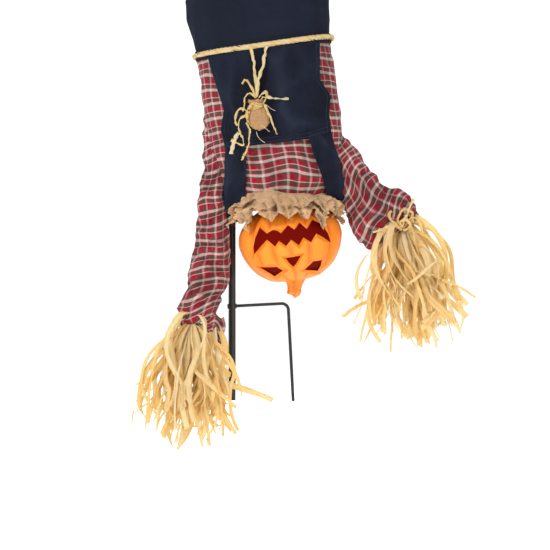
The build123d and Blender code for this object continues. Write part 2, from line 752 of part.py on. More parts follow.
# plane across the sleeve, half width, half depth
HANGING_SLEEVE = [
    (hanging_section(-48, -42, 426), 29, 24), (hanging_section(-46, -44, 367), 36, 31),
    (hanging_section(-49, -48, 300), 44, 34), (hanging_section(-58, -54, 246), 46, 34),
    (hanging_section(-77, -62, 180), 41, 31),
]
RAISED_SLEEVE = [
    (raised_section(30, -6, -38), 42, 22), (raised_section(72, -26, -44), 58, 25),
    (raised_section(104, -22, -46), 70, 27), (raised_section(130, -20, -46), 62, 26),
    (raised_section(146, -12, -45), 38, 22),
]

with BuildPart() as hanging_sleeve:
    add(sleeve_solid(HANGING_SLEEVE, 0))
    add(sleeve_solid(HANGING_SLEEVE, CLOTH), mode=Mode.SUBTRACT)
    add(wire_room(hanging_pivot, HANGING_WIRE_BENDS, HANGING_WRIST, 1.0), mode=Mode.SUBTRACT)

with BuildPart() as raised_sleeve:
    add(sleeve_solid(RAISED_SLEEVE, 0))
    add(sleeve_solid(RAISED_SLEEVE, CLOTH), mode=Mode.SUBTRACT)
    add(wire_room(raised_pivot, RAISED_WIRE_BENDS, RAISED_WRIST, 0.6), mode=Mode.SUBTRACT)

with BuildPart() as hanging_arm_stuffing:
    add(sleeve_solid(HANGING_SLEEVE, CLOTH + 0.3))
    with BuildSketch(hanging_section(0, 0, 150)):
        Rectangle(400, 400)
    extrude(amount=75, mode=Mode.SUBTRACT)
    add(wire_room(hanging_pivot, HANGING_WIRE_BENDS, HANGING_WRIST, 0.4), mode=Mode.SUBTRACT)

with BuildPart() as raised_arm_stuffing:
    add(sleeve_solid(RAISED_SLEEVE, CLOTH + 0.3))
    with BuildSketch(raised_section(112, 0, -44)):
        Rectangle(400, 400)
    extrude(amount=75, mode=Mode.SUBTRACT)
    add(wire_room(raised_pivot, RAISED_WIRE_BENDS, RAISED_WRIST, 0.4), mode=Mode.SUBTRACT)


# ---------------------------------------------------------------- straw hands
def hand_hanger(wrist, slope):
    """A forked strap that takes the wrist tab on a pin, with a tang for the straw."""
    pin = Vector(*wrist)
    fork = Plane(
        origin=pin, x_dir=(cos(radians(slope)), 0, sin(radians(slope))), z_dir=(0, -1, 0)
    )
    half_slot = TAB_THICKNESS / 2 + TAB_GAP
    with BuildPart(mode=Mode.PRIVATE) as hanger:
        with BuildSketch(fork.offset(-half_slot - 2)):
            with Locations((8, 0)):
                SlotOverall(28, 10)
        extrude(amount=2 * half_slot + 4)
        with BuildSketch(fork.offset(-half_slot)):
            with Locations((-2, 0)):
                Rectangle(22, 16)
        extrude(amount=2 * half_slot, mode=Mode.SUBTRACT)
        with BuildSketch(fork.offset(-half_slot - 2)):
            Circle(WRIST_PIN_R)
        extrude(amount=2 * half_slot + 4)
        with BuildSketch(fork.offset(-2)):
            with Locations((32, 0)):
                Rectangle(34, 5)
        extrude(amount=4)
    return hanger.part


def straw_tuft(wrist, slope, layers, hanger):
    """A bundle of flat strips that fan out from below the wrist; each tip is (X, Z)."""
    down = Vector(cos(radians(slope)), 0, sin(radians(slope)))
    root = Vector(*wrist) + down * 20
    with BuildPart(mode=Mode.PRIVATE) as tuft:
        with BuildSketch(Plane(origin=root, x_dir=(0, 1, 0), z_dir=tuple(down))):
            Ellipse(9, 13)
        with BuildSketch(
            Plane(origin=root + down * 45, x_dir=(0, 1, 0), z_dir=tuple(down))
        ):
            Ellipse(20, 27)
        loft()
        for y, tips in layers:
            for tip_x, tip_z in tips:
                reach = Vector(tip_x - root.X, 0, tip_z - root.Z)
                length = reach.length
                strip = Plane(
                    origin=(root.X, y, root.Z), x_dir=tuple(reach.normalized()),
                    z_dir=(0, -1, 0),
                )
                with BuildSketch(strip):
                    Polygon((24, -4), (0.55 * length, -8), (length, -3), (0.96 * length, 3),
                            (0.6 * length, 9), (24, 4), align=None)
                extrude(amount=4, both=True)
        add(hanger, mode=Mode.SUBTRACT)
    return tuft.part


def straw_tie(wrist, slope, tuft, hanger):
    """The black band round the top of the straw."""
    down = Vector(cos(radians(slope)), 0, sin(radians(slope)))
    middle = Vector(*wrist) + down * 30
    with BuildPart(mode=Mode.PRIVATE) as tie:
        with BuildSketch(Plane(origin=middle, x_dir=(0, 1, 0), z_dir=tuple(down))):
            Ellipse(17, 22)
        extrude(amount=5, both=True)
        add(tuft, mode=Mode.SUBTRACT)
        add(hanger, mode=Mode.SUBTRACT)
    return tie.part


HANGING_SLOPE = -90.0
hanging_hand_hanger = hand_hanger(HANGING_WRIST, HANGING_SLOPE)
hanging_hand_straw = straw_tuft(
    HANGING_WRIST, HANGING_SLOPE,
    [
        (-54, [(-150, 62), (-104, -48), (-40, -70), (8, 20)]),
        (-62, [(-172, 34), (-120, -20), (-66, -88), (-10, -52), (22, 44)]),
        (-70, [(-190, 14), (-136, -34), (-84, -60), (-28, -95), (30, -4)]),
        (-78, [(-160, 4), (-98, -80), (-52, -40), (12, -30), (33, 60)]),
    ],
    hanging_hand_hanger,
)
hanging_hand_tie = straw_tie(
    HANGING_WRIST, HANGING_SLOPE, hanging_hand_straw, hanging_hand_hanger
)

RAISED_SLOPE = -84.0
raised_hand_hanger = hand_hanger(RAISED_WRIST, RAISED_SLOPE)
raised_hand_straw = straw_tuft(
    RAISED_WRIST, RAISED_SLOPE,
    [
        (-32, [(300, 236), (352, 140), (430, 134), (500, 214)]),
        (-40, [(290, 262), (330, 168), (392, 119), (470, 158), (530, 252)]),
        (-48, [(312, 206), (366, 128), (444, 146), (514, 190), (547, 288)]),
        (-56, [(296, 276), (340, 190), (410, 150), (486, 232), (536, 316)]),
    ],
    raised_hand_hanger,
)
raised_hand_tie = straw_tie(
    RAISED_WRIST, RAISED_SLOPE, raised_hand_straw, raised_hand_hanger
)


# ---------------------------------------------------------------- legs
def leg_level(side, reach):
    return level(HIP_H + reach, side * HIP_U, BAR_Y)


def leg_solid(side, inset):
    """One leg of the overalls with its round hip end."""
    with BuildPart(mode=Mode.PRIVATE) as leg:
        for reach, (half_width, half_depth) in LEG_SECTIONS.items():
            with BuildSketch(leg_level(side, reach)):
                Ellipse(half_width - inset, half_depth - inset)
        loft()
        with Locations(spot(side * HIP_U, BAR_Y, HIP_H)):
            Sphere(HIP_BALL_R - inset)
    return leg.part


def leg_frame(side):
    """Wire of the leg, welded to a tube that turns on the hip bar."""
    with BuildPart(mode=Mode.PRIVATE) as frame:
        with BuildSketch(sideways(side * HIP_U - 17, HIP_H, BAR_Y)):
            Circle(BAR_R + 3)
        extrude(amount=34)
        with BuildSketch(leg_level(side, 0)):
            Circle(4)
        extrude(amount=ANKLE + 40)
        with BuildSketch(sideways(side * HIP_U - 30, HIP_H, BAR_Y)):
            Circle(BAR_R + RUNNING_GAP)
        extrude(amount=60, mode=Mode.SUBTRACT)
    return frame.part


def leg_stuffing(side, frame):
    with BuildPart(mode=Mode.PRIVATE) as stuffing:
        add(leg_solid(side, CLOTH + 0.3))
        # clear of the hip bar and its retaining rings, and short of the raffia foot
        with BuildSketch(sideways(side * HIP_U - 80, HIP_H, BAR_Y)):
            Circle(BAR_R + 5)
        extrude(amount=160, mode=Mode.SUBTRACT)
        with BuildSketch(leg_level(side, ANKLE - 40)):
            Rectangle(200, 200)
        extrude(amount=80, mode=Mode.SUBTRACT)
        add(frame, mode=Mode.SUBTRACT)
    return stuffing.part


def trouser_leg(side):
    with BuildPart(mode=Mode.PRIVATE) as cloth:
        add(leg_solid(side, 0))
        add(leg_solid(side, CLOTH), mode=Mode.SUBTRACT)
        with BuildSketch(sideways(side * HIP_U - 80, HIP_H, BAR_Y)):
            Circle(BAR_R + 5)
        extrude(amount=160, mode=Mode.SUBTRACT)
        # the leg's end is open
        with BuildSketch(leg_level(side, 340)):
            Ellipse(39, 37)
        extrude(amount=20, mode=Mode.SUBTRACT)
    return cloth.part


def foot_straw(side, frame):
    """Raffia tied in at the ankle, brushing out past the end of the leg."""
    with BuildPart(mode=Mode.PRIVATE) as straw:
        with BuildSketch(leg_level(side, ANKLE - 35)):
            Ellipse(16, 16)
        with BuildSketch(leg_level(side, ANKLE)):
            Ellipse(22, 20)
        with BuildSketch(leg_level(side, ANKLE + 45)):
            Ellipse(38, 32)
        loft()
        for layer, tips in ((-14, (-62, -20, 24)), (-3, (-44, 2, 58)), (8, (-70, -8, 36))):
            for tip in tips:
                strip = front(side * HIP_U, HIP_H + ANKLE, BAR_Y + layer)
                with BuildSketch(strip):
                    Polygon((0.25 * tip - 8, 20), (0.6 * tip - 9, 70), (tip - 3, FOOT_LENGTH),
                            (tip + 4, FOOT_LENGTH - 6), (0.6 * tip + 9, 70),
                            (0.25 * tip + 8, 20), align=None)
                extrude(amount=4, both=True)
        add(frame, mode=Mode.SUBTRACT)
    return straw.part


def ankle_tie(side):
    with BuildPart(mode=Mode.PRIVATE) as tie:
        with BuildSketch(leg_level(side, ANKLE - 14)):
            Ellipse(46.5, 45)
            Ellipse(43.8, 42, mode=Mode.SUBTRACT)
        extrude(amount=8)
        add(leg_solid(side, -0.2), mode=Mode.SUBTRACT)
    return tie.part


# ---------------------------------------------------------------- one file for each piece
pieces = {
    "step_prong": step_prong.part,
    "prong_welds": prong_welds.part,
    "lower_pole": lower_pole.part,
    "pole_end_cap": pole_end_cap.part,
    "upper_pole": drilled_upper_pole.part,
    "pole_spigot": drilled_spigot.part,
    "spigot_rivet": spigot_rivet.part,
    "pole_top_plug": pole_top_plug.part,
    "shoulder_bar": shoulder_bar.part,
    "shoulder_bolts": shoulder_bolts.part,
    "frame_welds": frame_welds.part,
    "hip_yoke": hip_yoke.part,
    "hip_bar": hip_bar.part,
    "hip_retainers": hip_retainers.part,
    "neck_post": neck_post.part,
    "neck_clip": neck_clip.part,
    "head_shell": head_with_screw_holes.part,
    "head_liner": head_liner.part,
    "head_socket": head_socket.part,
    "head_screws": head_screws.part,
    "lamp_holder": lamp_holder.part,
    "lamp_leds": lamp_leds.part,
    "lamp_cable": lamp_cable.part,
    "battery_box": battery_box.part,
    "battery_door": battery_door.part,
    "battery_cells": battery_cells.part,
    "battery_contacts": battery_contacts.part,
    "power_switch": power_switch.part,
    "torso_stuffing": torso_stuffing.part,
    "seat_stuffing": seat_stuffing.part,
    "shirt_body": shirt_body.part,
    "overalls_seat": overalls_seat.part,
    "overalls_bib": overalls_bib.part,
    "hanging_side_strap": hanging_side_strap,
    "raised_side_strap": raised_side_strap,
    "collar_ruffle": collar_ruffle.part,
    "waist_raffia": waist_raffia.part,
    "pouch": pouch.part,
    "pouch_raffia": pouch_raffia.part,
    "hanging_arm_wire": hanging_arm_wire,
    "raised_arm_wire": raised_arm_wire,
    "hanging_sleeve": hanging_sleeve.part,
    "raised_sleeve": raised_sleeve.part,
    "hanging_arm_stuffing": hanging_arm_stuffing.part,
    "raised_arm_stuffing": raised_arm_stuffing.part,
    "hanging_hand_hanger": hanging_hand_hanger,
    "raised_hand_hanger": raised_hand_hanger,
    "hanging_hand_straw": hanging_hand_straw,
    "raised_hand_straw": raised_hand_straw,
    "hanging_hand_tie": hanging_hand_tie,
    "raised_hand_tie": raised_hand_tie,
}
for leg_name, side in (("pole_side_leg", -1), ("open_side_leg", 1)):
    frame = leg_frame(side)
    pieces[f"{leg_name}_frame"] = frame
    pieces[f"{leg_name}_cloth"] = trouser_leg(side)
    pieces[f"{leg_name}_stuffing"] = leg_stuffing(side, frame)
    pieces[f"{leg_name}_straw"] = foot_straw(side, frame)

for name, piece in pieces.items():
    piece.label = name
    export_step(piece, f"parts/{name}.step")
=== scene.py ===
import json
import math
import bpy
import numpy as np
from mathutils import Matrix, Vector


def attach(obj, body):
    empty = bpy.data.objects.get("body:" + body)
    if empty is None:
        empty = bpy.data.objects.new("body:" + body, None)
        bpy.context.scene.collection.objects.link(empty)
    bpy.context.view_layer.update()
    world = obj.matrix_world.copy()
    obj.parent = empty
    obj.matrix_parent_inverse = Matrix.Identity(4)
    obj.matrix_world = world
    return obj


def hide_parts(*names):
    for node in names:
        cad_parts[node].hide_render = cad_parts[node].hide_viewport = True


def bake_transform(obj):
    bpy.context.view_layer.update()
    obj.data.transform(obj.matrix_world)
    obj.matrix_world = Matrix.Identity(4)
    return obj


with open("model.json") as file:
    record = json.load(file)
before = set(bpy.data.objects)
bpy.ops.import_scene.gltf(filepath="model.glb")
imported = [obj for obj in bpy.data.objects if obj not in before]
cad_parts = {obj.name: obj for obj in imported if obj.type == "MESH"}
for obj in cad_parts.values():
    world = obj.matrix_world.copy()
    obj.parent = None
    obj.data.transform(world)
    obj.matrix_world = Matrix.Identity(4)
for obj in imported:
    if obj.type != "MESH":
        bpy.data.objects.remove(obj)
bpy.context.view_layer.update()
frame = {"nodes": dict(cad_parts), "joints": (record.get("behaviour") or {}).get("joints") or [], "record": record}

# ---------------------------------------------------------------- the figure's own directions
# Lengths below are millimetres; meshes are written in metres.
joints = {j["name"]: j for j in frame["joints"]}
BODY = np.array(joints["head_turn"]["axis"])
BAR = np.array(joints["pole_side_hip"]["axis"])
FRONT = np.array([0.0, -1.0, 0.0])
HEAD = np.array(joints["head_turn"]["pos_m"]) * 1000
HEAD_H = -124.0
MIDDLE = HEAD - BODY * HEAD_H
MIDDLE[1] = 0.0
TORSO_Y = -30.0
HEAD_Y = HEAD[1]
WAIST_H = 309.0
HIP_H = 470.0
LEG_U = 72.0
LEG_Y = -13.0
HEAD_R = 115.5
FACE_BEVEL = 7.5
CLOTH_PER_RADIAN = 0.128


def spot(u, y, h):
    """Points u along the shoulder bar, at depth y, h along the body; arrays broadcast."""
    u, y, h = np.broadcast_arrays(u, y, h)
    out = MIDDLE + u[..., None] * BAR + h[..., None] * BODY
    out[..., 1] = y
    return out


def unit(v):
    """Vectors scaled to length one."""
    return v / np.maximum(np.linalg.norm(v, axis=-1, keepdims=True), 1e-9)


def full_turn(count):
    """Evenly spaced angles, the last one short of the first."""
    return np.linspace(0, 2 * math.pi, count, endpoint=False)


def run_along(path):
    """The distance from the start at each point of a path."""
    return np.concatenate([[0], np.cumsum(np.linalg.norm(np.diff(path, axis=0), axis=1))])


def paired(u, v):
    """Texture coordinates from two arrays that broadcast."""
    return np.stack(np.broadcast_arrays(u, v), axis=-1)


def waves(points, seed, length, count=9):
    """A smooth random field of about unit size, with features of the given length."""
    rng = np.random.default_rng(seed)
    direction = unit(rng.normal(size=(count, points.shape[-1])))
    pace = 2 * math.pi / (length * rng.uniform(0.7, 1.6, count))
    start = rng.uniform(0, 2 * math.pi, count)
    return np.sin((points @ direction.T) * pace + start).sum(-1) / math.sqrt(count / 2)


def creases(points, seed, length):
    """A field of narrow ridges between smooth hollows, 0 to 1."""
    return 1 - np.minimum(np.abs(waves(points, seed, length)), 1.0)


def curve_through(points, count):
    """Evenly spaced points on a smooth curve through the given ones."""
    p = np.asarray(points, float)
    p = np.vstack([2 * p[0] - p[1], p, 2 * p[-1] - p[-2]])
    t = np.linspace(0, len(p) - 3 - 1e-6, count * 4)
    i = t.astype(int)
    f = (t - i)[:, None]
    a, b, c, d = p[i], p[i + 1], p[i + 2], p[i + 3]
    q = 0.5 * (2 * b + (c - a) * f + (2 * a - 5 * b + 4 * c - d) * f**2
               + (3 * b - a - 3 * c + d) * f**3)
    run = run_along(q)
    at = np.linspace(0, run[-1], count)
    return np.stack([np.interp(at, run, q[:, k]) for k in range(p.shape[1])], axis=1)


# ---------------------------------------------------------------- meshes
def new_object(name, data):
    made = bpy.data.objects.new(name, data)
    bpy.context.scene.collection.objects.link(made)
    return made


def add_mesh(name, points, faces, uv=None, tone=None, material=None, smooth=True):
    """An object from points in millimetres."""
    mesh = bpy.data.meshes.new(name)
    mesh.from_pydata((np.asarray(points) / 1000).tolist(), [], [list(f) for f in faces])
    if uv is not None:
        layer = mesh.uv_layers.new(name="UVMap")
        layer.data.foreach_set("uv", np.asarray(uv, np.float32).ravel())
    if tone is not None:
        attribute = mesh.attributes.new("tone", "FLOAT", "POINT")
        attribute.data.foreach_set("value", np.asarray(tone, np.float32).ravel())
    mesh.polygons.foreach_set("use_smooth", [smooth] * len(mesh.polygons))
    mesh.update()
    if material:
        mesh.materials.append(material)
    return new_object(name, mesh)


def grid_faces(rows, columns, closed=False):
    """Quads of a grid, and for each corner the index into the uv grid."""
    wide = columns if closed else columns - 1
    i, j = np.meshgrid(np.arange(rows - 1), np.arange(wide), indexing="ij")
    i, j = i.ravel(), j.ravel()
    faces = np.stack([i * columns + j, i * columns + (j + 1) % columns,
                      (i + 1) * columns + (j + 1) % columns, (i + 1) * columns + j], 1)
    uv_wide = columns + 1 if closed else columns
    corners = np.stack([i * uv_wide + j, i * uv_wide + j + 1,
                        (i + 1) * uv_wide + j + 1, (i + 1) * uv_wide + j], 1)
    return faces, corners


def thicken(piece, thick):
    solid = piece.modifiers.new("thickness", "SOLIDIFY")
    solid.thickness = thick / 1000
    solid.offset = 0
    return piece


def sheet(name, points, uv, material, closed=False, thick=1.6, flip=False, tone=None):
    """Cloth on a grid of points; uv in metres; tone is 0 in folds and 1 on ridges, and sets the painted shade of
    the folds.
    """
    rows, columns = points.shape[:2]
    faces, corners = grid_faces(rows, columns, closed)
    if flip:
        faces, corners = faces[:, ::-1], corners[:, ::-1]
    loops = uv.reshape(-1, 2)[corners.ravel()]
    tone = np.broadcast_to(0.5 if tone is None else tone, points.shape[:2])
    return thicken(add_mesh(name, points.reshape(-1, 3), faces, loops,
                            np.clip(tone, 0, 1).ravel(), material), thick)


def tubes(name, paths, radius, material, sides=6):
    """Round strands along paths, in one mesh."""
    points, faces, tone = [], [], []
    rng = np.random.default_rng(len(paths))
    for path in paths:
        path = np.asarray(path, float)
        count = len(path)
        along = unit(np.gradient(path, axis=0))
        side = unit(np.cross(along, [0.3, 1.0, 0.2]))
        up = np.cross(side, along)
        angle = full_turn(sides)[None, :, None]
        ring = path[:, None] + radius * (np.cos(angle) * side[:, None] + np.sin(angle) * up[:, None])
        base = sum(len(p) for p in points)
        f, _ = grid_faces(count, sides, closed=True)
        faces.extend((f + base).tolist())
        faces.append([base + k for k in range(sides)][::-1])
        faces.append([base + (count - 1) * sides + k for k in range(sides)])
        points.append(ring.reshape(-1, 3))
        tone.append(np.full(count * sides, rng.uniform(0, 1)))
    return add_mesh(name, np.concatenate(points), faces, tone=np.concatenate(tone),
                    material=material)


def ribbons(name, paths, widths, sides, material, seed, fold=0.25, thick=0.45):
    """Flat strips along paths (n, steps, 3): widths (n, steps), sides (n, steps, 3)."""
    rng = np.random.default_rng(seed)
    n, steps = paths.shape[:2]
    along = unit(np.gradient(paths, axis=1))
    sides = unit(sides - (sides * along).sum(-1, keepdims=True) * along)
    up = np.cross(sides, along)
    across = np.array([-0.5, -0.17, 0.17, 0.5])
    dish = (fold * rng.uniform(-1, 1, (n, 1, 1)) * (0.25 - across**2)[None, None, :]
            * widths[..., None] * 2.2)
    crinkle = 0.05 * widths[..., None] * rng.normal(size=(n, steps, 4))
    points = (paths[:, :, None] + sides[:, :, None] * (across * widths[..., None])[..., None]
              + up[:, :, None] * (dish + crinkle)[..., None])
    f, c = grid_faces(steps, 4)
    per = steps * 4
    faces = (f[None] + (np.arange(n) * per)[:, None, None]).reshape(-1, 4)
    run = np.concatenate([np.zeros((n, 1)), np.cumsum(np.linalg.norm(
        np.diff(paths, axis=1), axis=2), axis=1)], axis=1)
    offset = rng.uniform(0, 2, (n, 2))
    uv = paired(across * widths[..., None] / 1000 + offset[:, None, None, 0],
                run[..., None] / 1000 + offset[:, None, None, 1]).reshape(-1, 2)
    tone = np.repeat(rng.uniform(0, 1, n), per)
    return thicken(add_mesh(name, points.reshape(-1, 3), faces, uv[faces.ravel()], tone,
                            material), thick)


def place(piece, body, slot, *stands_for):
    """The piece rides a body and stands for some CAD nodes; slot is not used."""
    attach(piece, body)
    if stands_for:
        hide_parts(*stands_for)


# ---------------------------------------------------------------- materials
def rgb(r, g, b):
    """Linear colour from 0-255 display values."""
    return tuple(((c / 255 + 0.055) / 1.055) ** 2.4 if c > 10 else c / 255 / 12.92
                 for c in (r, g, b)) + (1.0,)


def grey(value):
    return (value, value, value, 1.0)


class Material:
    """A node material written from sockets."""

    def __init__(self, name):
        self.mat = bpy.data.materials.new(name)
        self.mat.use_nodes = True
        self.tree = self.mat.node_tree
        self.tree.nodes.clear()
        self.coords = self.node("ShaderNodeTexCoord")

    def node(self, kind, output=None, **inputs):
        made = self.tree.nodes.new(kind)
        for key, value in inputs.items():
            if key[0].islower():
                setattr(made, key, value)
            else:
                self.set(made.inputs[key.replace("_", " ")], value)
        return made.outputs[output] if output else made

    def set(self, socket, value):
        if isinstance(value, bpy.types.NodeSocket):
            self.tree.links.new(value, socket)
        elif value is not None:
            socket.default_value = value

    def math(self, operation, a, b=None, c=None):
        made = self.tree.nodes.new("ShaderNodeMath")
        made.operation = operation
        for socket, value in zip(made.inputs, (a, b, c)):
            self.set(socket, value)
        return made.outputs[0]

    def mix(self, share, a, b, blend="MIX"):
        made = self.tree.nodes.new("ShaderNodeMix")
        made.data_type = "RGBA"
        made.blend_type = blend
        self.set(made.inputs[0], share)
        self.set(made.inputs[6], a)
        self.set(made.inputs[7], b)
        return made.outputs[2]

    def ramp(self, value, stops):
        made = self.tree.nodes.new("ShaderNodeValToRGB")
        elements = made.color_ramp.elements
        while len(elements) < len(stops):
            elements.new(0.5)
        for element, (place_at, colour) in zip(elements, stops):
            element.position = place_at
            element.color = colour
        self.set(made.inputs[0], value)
        return made.outputs[0]

    def fade(self, value, start, end, low=0, high=1):
        """A grey ramp from low to high."""
        return self.ramp(value, [(start, grey(low)), (end, grey(high))])

    def tone(self):
        """The tone that a mesh carries at each point."""
        return self.node("ShaderNodeAttribute", "Fac", attribute_name="tone")

    def shaded(self, colour, fold, middle, ridge_at):
        """The colour darkened by painted shade in the folds of the cloth."""
        shade = self.ramp(self.tone(), [
            (0.1, grey(fold)), (0.5, grey(middle)), (ridge_at, grey(1.0))])
        return self.mix(1.0, colour, shade, "MULTIPLY")

    def uv(self):
        """The texture coordinates and their two parts."""
        both = self.coords.outputs["UV"]
        parts = self.node("ShaderNodeSeparateXYZ", Vector=both)
        return both, parts.outputs[0], parts.outputs[1]

    def noise(self, scale, detail=3, vector=None):
        return self.node("ShaderNodeTexNoise", "Fac", Scale=scale, Detail=detail, Roughness=0.6,
                         Vector=vector or self.coords.outputs["Object"])

    def stretched(self, vector, scale):
        return self.node("ShaderNodeMapping", "Vector", Vector=vector, Scale=scale)

    def bump(self, height, strength, distance, normal=None):
        return self.node("ShaderNodeBump", "Normal", Height=height, Strength=strength,
                         Distance=distance, Normal=normal)

    def finish(self, colour, roughness=0.6, normal=None, glow=None, **more):
        shader = self.node("ShaderNodeBsdfPrincipled", Base_Color=colour,
                           Roughness=roughness, Normal=normal, **more)
        out = shader.outputs[0]
        if glow is not None:
            through = self.node("ShaderNodeBsdfTranslucent", Color=colour, Normal=normal)
            blend = self.node("ShaderNodeMixShader")
            self.set(blend.inputs[0], glow)
            self.set(blend.inputs[1], out)
            self.set(blend.inputs[2], through.outputs[0])
            out = blend.outputs[0]
        end = self.node("ShaderNodeOutputMaterial")
        self.set(end.inputs[0], out)
        return self.mat


def plaid():
    """Brushed flannel: coloured warp and weft stripes, woven together."""
    m = Material("plaid_flannel")
    uv, x, y = m.uv()
    wander = m.math("SUBTRACT", m.noise(38, 2, uv), 0.5)
    x = m.math("MULTIPLY_ADD", wander, 0.004, x)
    y = m.math("MULTIPLY_ADD", wander, -0.004, y)
    red, olive = rgb(158, 20, 46), rgb(82, 68, 58)
    cream, pink = rgb(216, 196, 186), rgb(190, 122, 128)
    warp = m.ramp(m.math("FRACT", m.math("DIVIDE", x, 0.047)), [
        (0.0, pink), (0.03, cream), (0.09, cream), (0.13, olive), (0.31, olive), (0.34, red),
        (0.50, red), (0.53, pink), (0.58, cream), (0.61, pink), (0.64, olive),
        (0.80, olive), (0.83, red), (0.97, red), (1.0, pink)])
    weft = m.ramp(m.math("FRACT", m.math("DIVIDE", y, 0.031)), [
        (0.0, olive), (0.15, olive), (0.165, cream), (0.205, cream), (0.22, red),
        (0.54, red), (0.555, olive), (0.65, olive), (0.67, cream), (0.85, cream),
        (0.865, red), (0.92, red), (0.94, olive), (1.0, olive)])
    twill = m.math("FRACT", m.math("DIVIDE", m.math("ADD", x, y), 0.0017))
    over = m.math("MULTIPLY_ADD", m.math("GREATER_THAN", twill, 0.5), 0.30, 0.46)
    colour = m.mix(over, warp, weft)
    slub_x = m.noise(1.0, 2, m.stretched(uv, (2600, 160, 1)))
    slub_y = m.noise(1.0, 2, m.stretched(uv, (160, 2600, 1)))
    slub = m.math("ADD", m.math("MULTIPLY", slub_x, 0.8), m.math("MULTIPLY", slub_y, 0.8))
    colour = m.mix(1.0, colour, m.fade(slub, 0.45, 1.1, 0.66, 1), "MULTIPLY")
    lint = m.fade(m.noise(240, 4, uv), 0.62, 0.8, 0, 0.35)
    # painted shade in the folds, set by the mesh's tone
    colour = m.shaded(m.mix(lint, colour, rgb(235, 220, 210)), 0.62, 0.95, 0.9)
    height = m.math("ADD", m.math("MULTIPLY", twill, 0.5), slub)
    normal = m.bump(height, 0.35, 0.0006)
    normal = m.bump(m.noise(70, 4, uv), 0.25, 0.004, normal)
    return m.finish(colour, 0.95, normal, Sheen_Weight=0.12, Sheen_Roughness=0.5,
                    Specular_IOR_Level=0.1)


def denim():
    """Dark blue twill with pale yarns in its weave; painted shade in the folds and a painted highlight on the fold
    ridges.
    """
    m = Material("denim")
    uv, x, y = m.uv()
    diagonal = m.math("MULTIPLY_ADD", y, 1.7, x)
    twill = m.math("PINGPONG", m.math("DIVIDE", diagonal, 0.0011), 0.5)
    yarn = m.noise(1.0, 2, m.stretched(uv, (1500, 120, 1)))
    worn = m.fade(m.noise(9, 4, uv), 0.3, 0.75)
    colour = m.mix(worn, rgb(15, 19, 32), rgb(24, 29, 45))
    thread = m.math("MULTIPLY", m.math("GREATER_THAN", twill, 0.33), m.math("MULTIPLY", yarn, 0.5))
    colour = m.mix(thread, colour, rgb(52, 60, 80))
    # painted shade in the folds, and a painted highlight on the fold ridges
    colour = m.shaded(colour, 0.5, 0.85, 0.95)
    colour = m.mix(m.fade(m.tone(), 0.6, 1.0, 0, 0.22), colour, rgb(50, 56, 74))
    normal = m.bump(m.math("ADD", twill, m.math("MULTIPLY", yarn, 0.6)), 0.3, 0.0006)
    normal = m.bump(m.noise(45, 4, uv), 0.2, 0.004, normal)
    return m.finish(colour, 0.88, normal, Sheen_Weight=0.05, Sheen_Roughness=0.4,
                    Sheen_Tint=rgb(120, 130, 165), Specular_IOR_Level=0.15)


def burlap(name, light, dark):
    """Coarse open weave of uneven jute yarn, with painted shade in the gaps of the weave and in the folds."""
    m = Material(name)
    uv, x, y = m.uv()
    wander = m.math("MULTIPLY", m.math("SUBTRACT", m.noise(60, 2, uv), 0.5), 0.004)
    x = m.math("DIVIDE", m.math("ADD", x, wander), 0.0019)
    y = m.math("DIVIDE", m.math("ADD", y, wander), 0.0019)
    across = m.math("PINGPONG", x, 0.5)
    down = m.math("PINGPONG", y, 0.5)
    over = m.math("GREATER_THAN", m.math("SINE", m.math("MULTIPLY", m.math(
        "ADD", m.math("FLOOR", x), m.math("FLOOR", y)), math.pi / 2)), 0.0)
    height = m.math("MAXIMUM", m.math("MULTIPLY", across, m.math("ADD", over, 0.7)),
                    m.math("MULTIPLY", down, m.math("SUBTRACT", 1.7, over)))
    yarn = m.noise(1.0, 3, m.stretched(uv, (1400, 300, 1)))
    colour = m.mix(m.fade(m.noise(22, 4, uv), 0.3, 0.7), dark, light)
    # painted shade in the gaps between the yarns
    colour = m.mix(m.fade(height, 0.05, 0.3, 0.75, 0), colour, rgb(120, 84, 50))
    colour = m.mix(m.math("MULTIPLY", yarn, 0.5), colour, rgb(240, 205, 160))
    # painted shade in the folds
    colour = m.shaded(colour, 0.5, 0.92, 0.8)
    normal = m.bump(m.math("ADD", height, yarn), 0.7, 0.0012)
    return m.finish(colour, 0.95, normal, glow=0.12, Sheen_Weight=0.2, Specular_IOR_Level=0.1)


def straw():
    """Dry raffia strips: each has its own tone, with fibres along it."""
    m = Material("raffia_straw")
    uv = m.coords.outputs["UV"]
    colour = m.ramp(m.tone(), [
        (0.0, rgb(248, 224, 162)), (0.3, rgb(252, 233, 178)), (0.6, rgb(255, 240, 192)),
        (0.85, rgb(255, 245, 208)), (1.0, rgb(255, 249, 228))])
    fibre = m.noise(1.0, 3, m.stretched(uv, (1900, 45, 1)))
    colour = m.mix(m.fade(fibre, 0.3, 0.55, 0.4, 0), colour, rgb(228, 184, 112))
    spots = m.fade(m.noise(60, 3, uv), 0.64, 0.8, 0, 0.3)
    colour = m.mix(spots, colour, rgb(212, 164, 96))
    normal = m.bump(fibre, 0.5, 0.0008)
    normal = m.bump(m.noise(120, 3, uv), 0.35, 0.002, normal)
    return m.finish(colour, 0.6, normal, glow=0.62, Specular_IOR_Level=0.2)


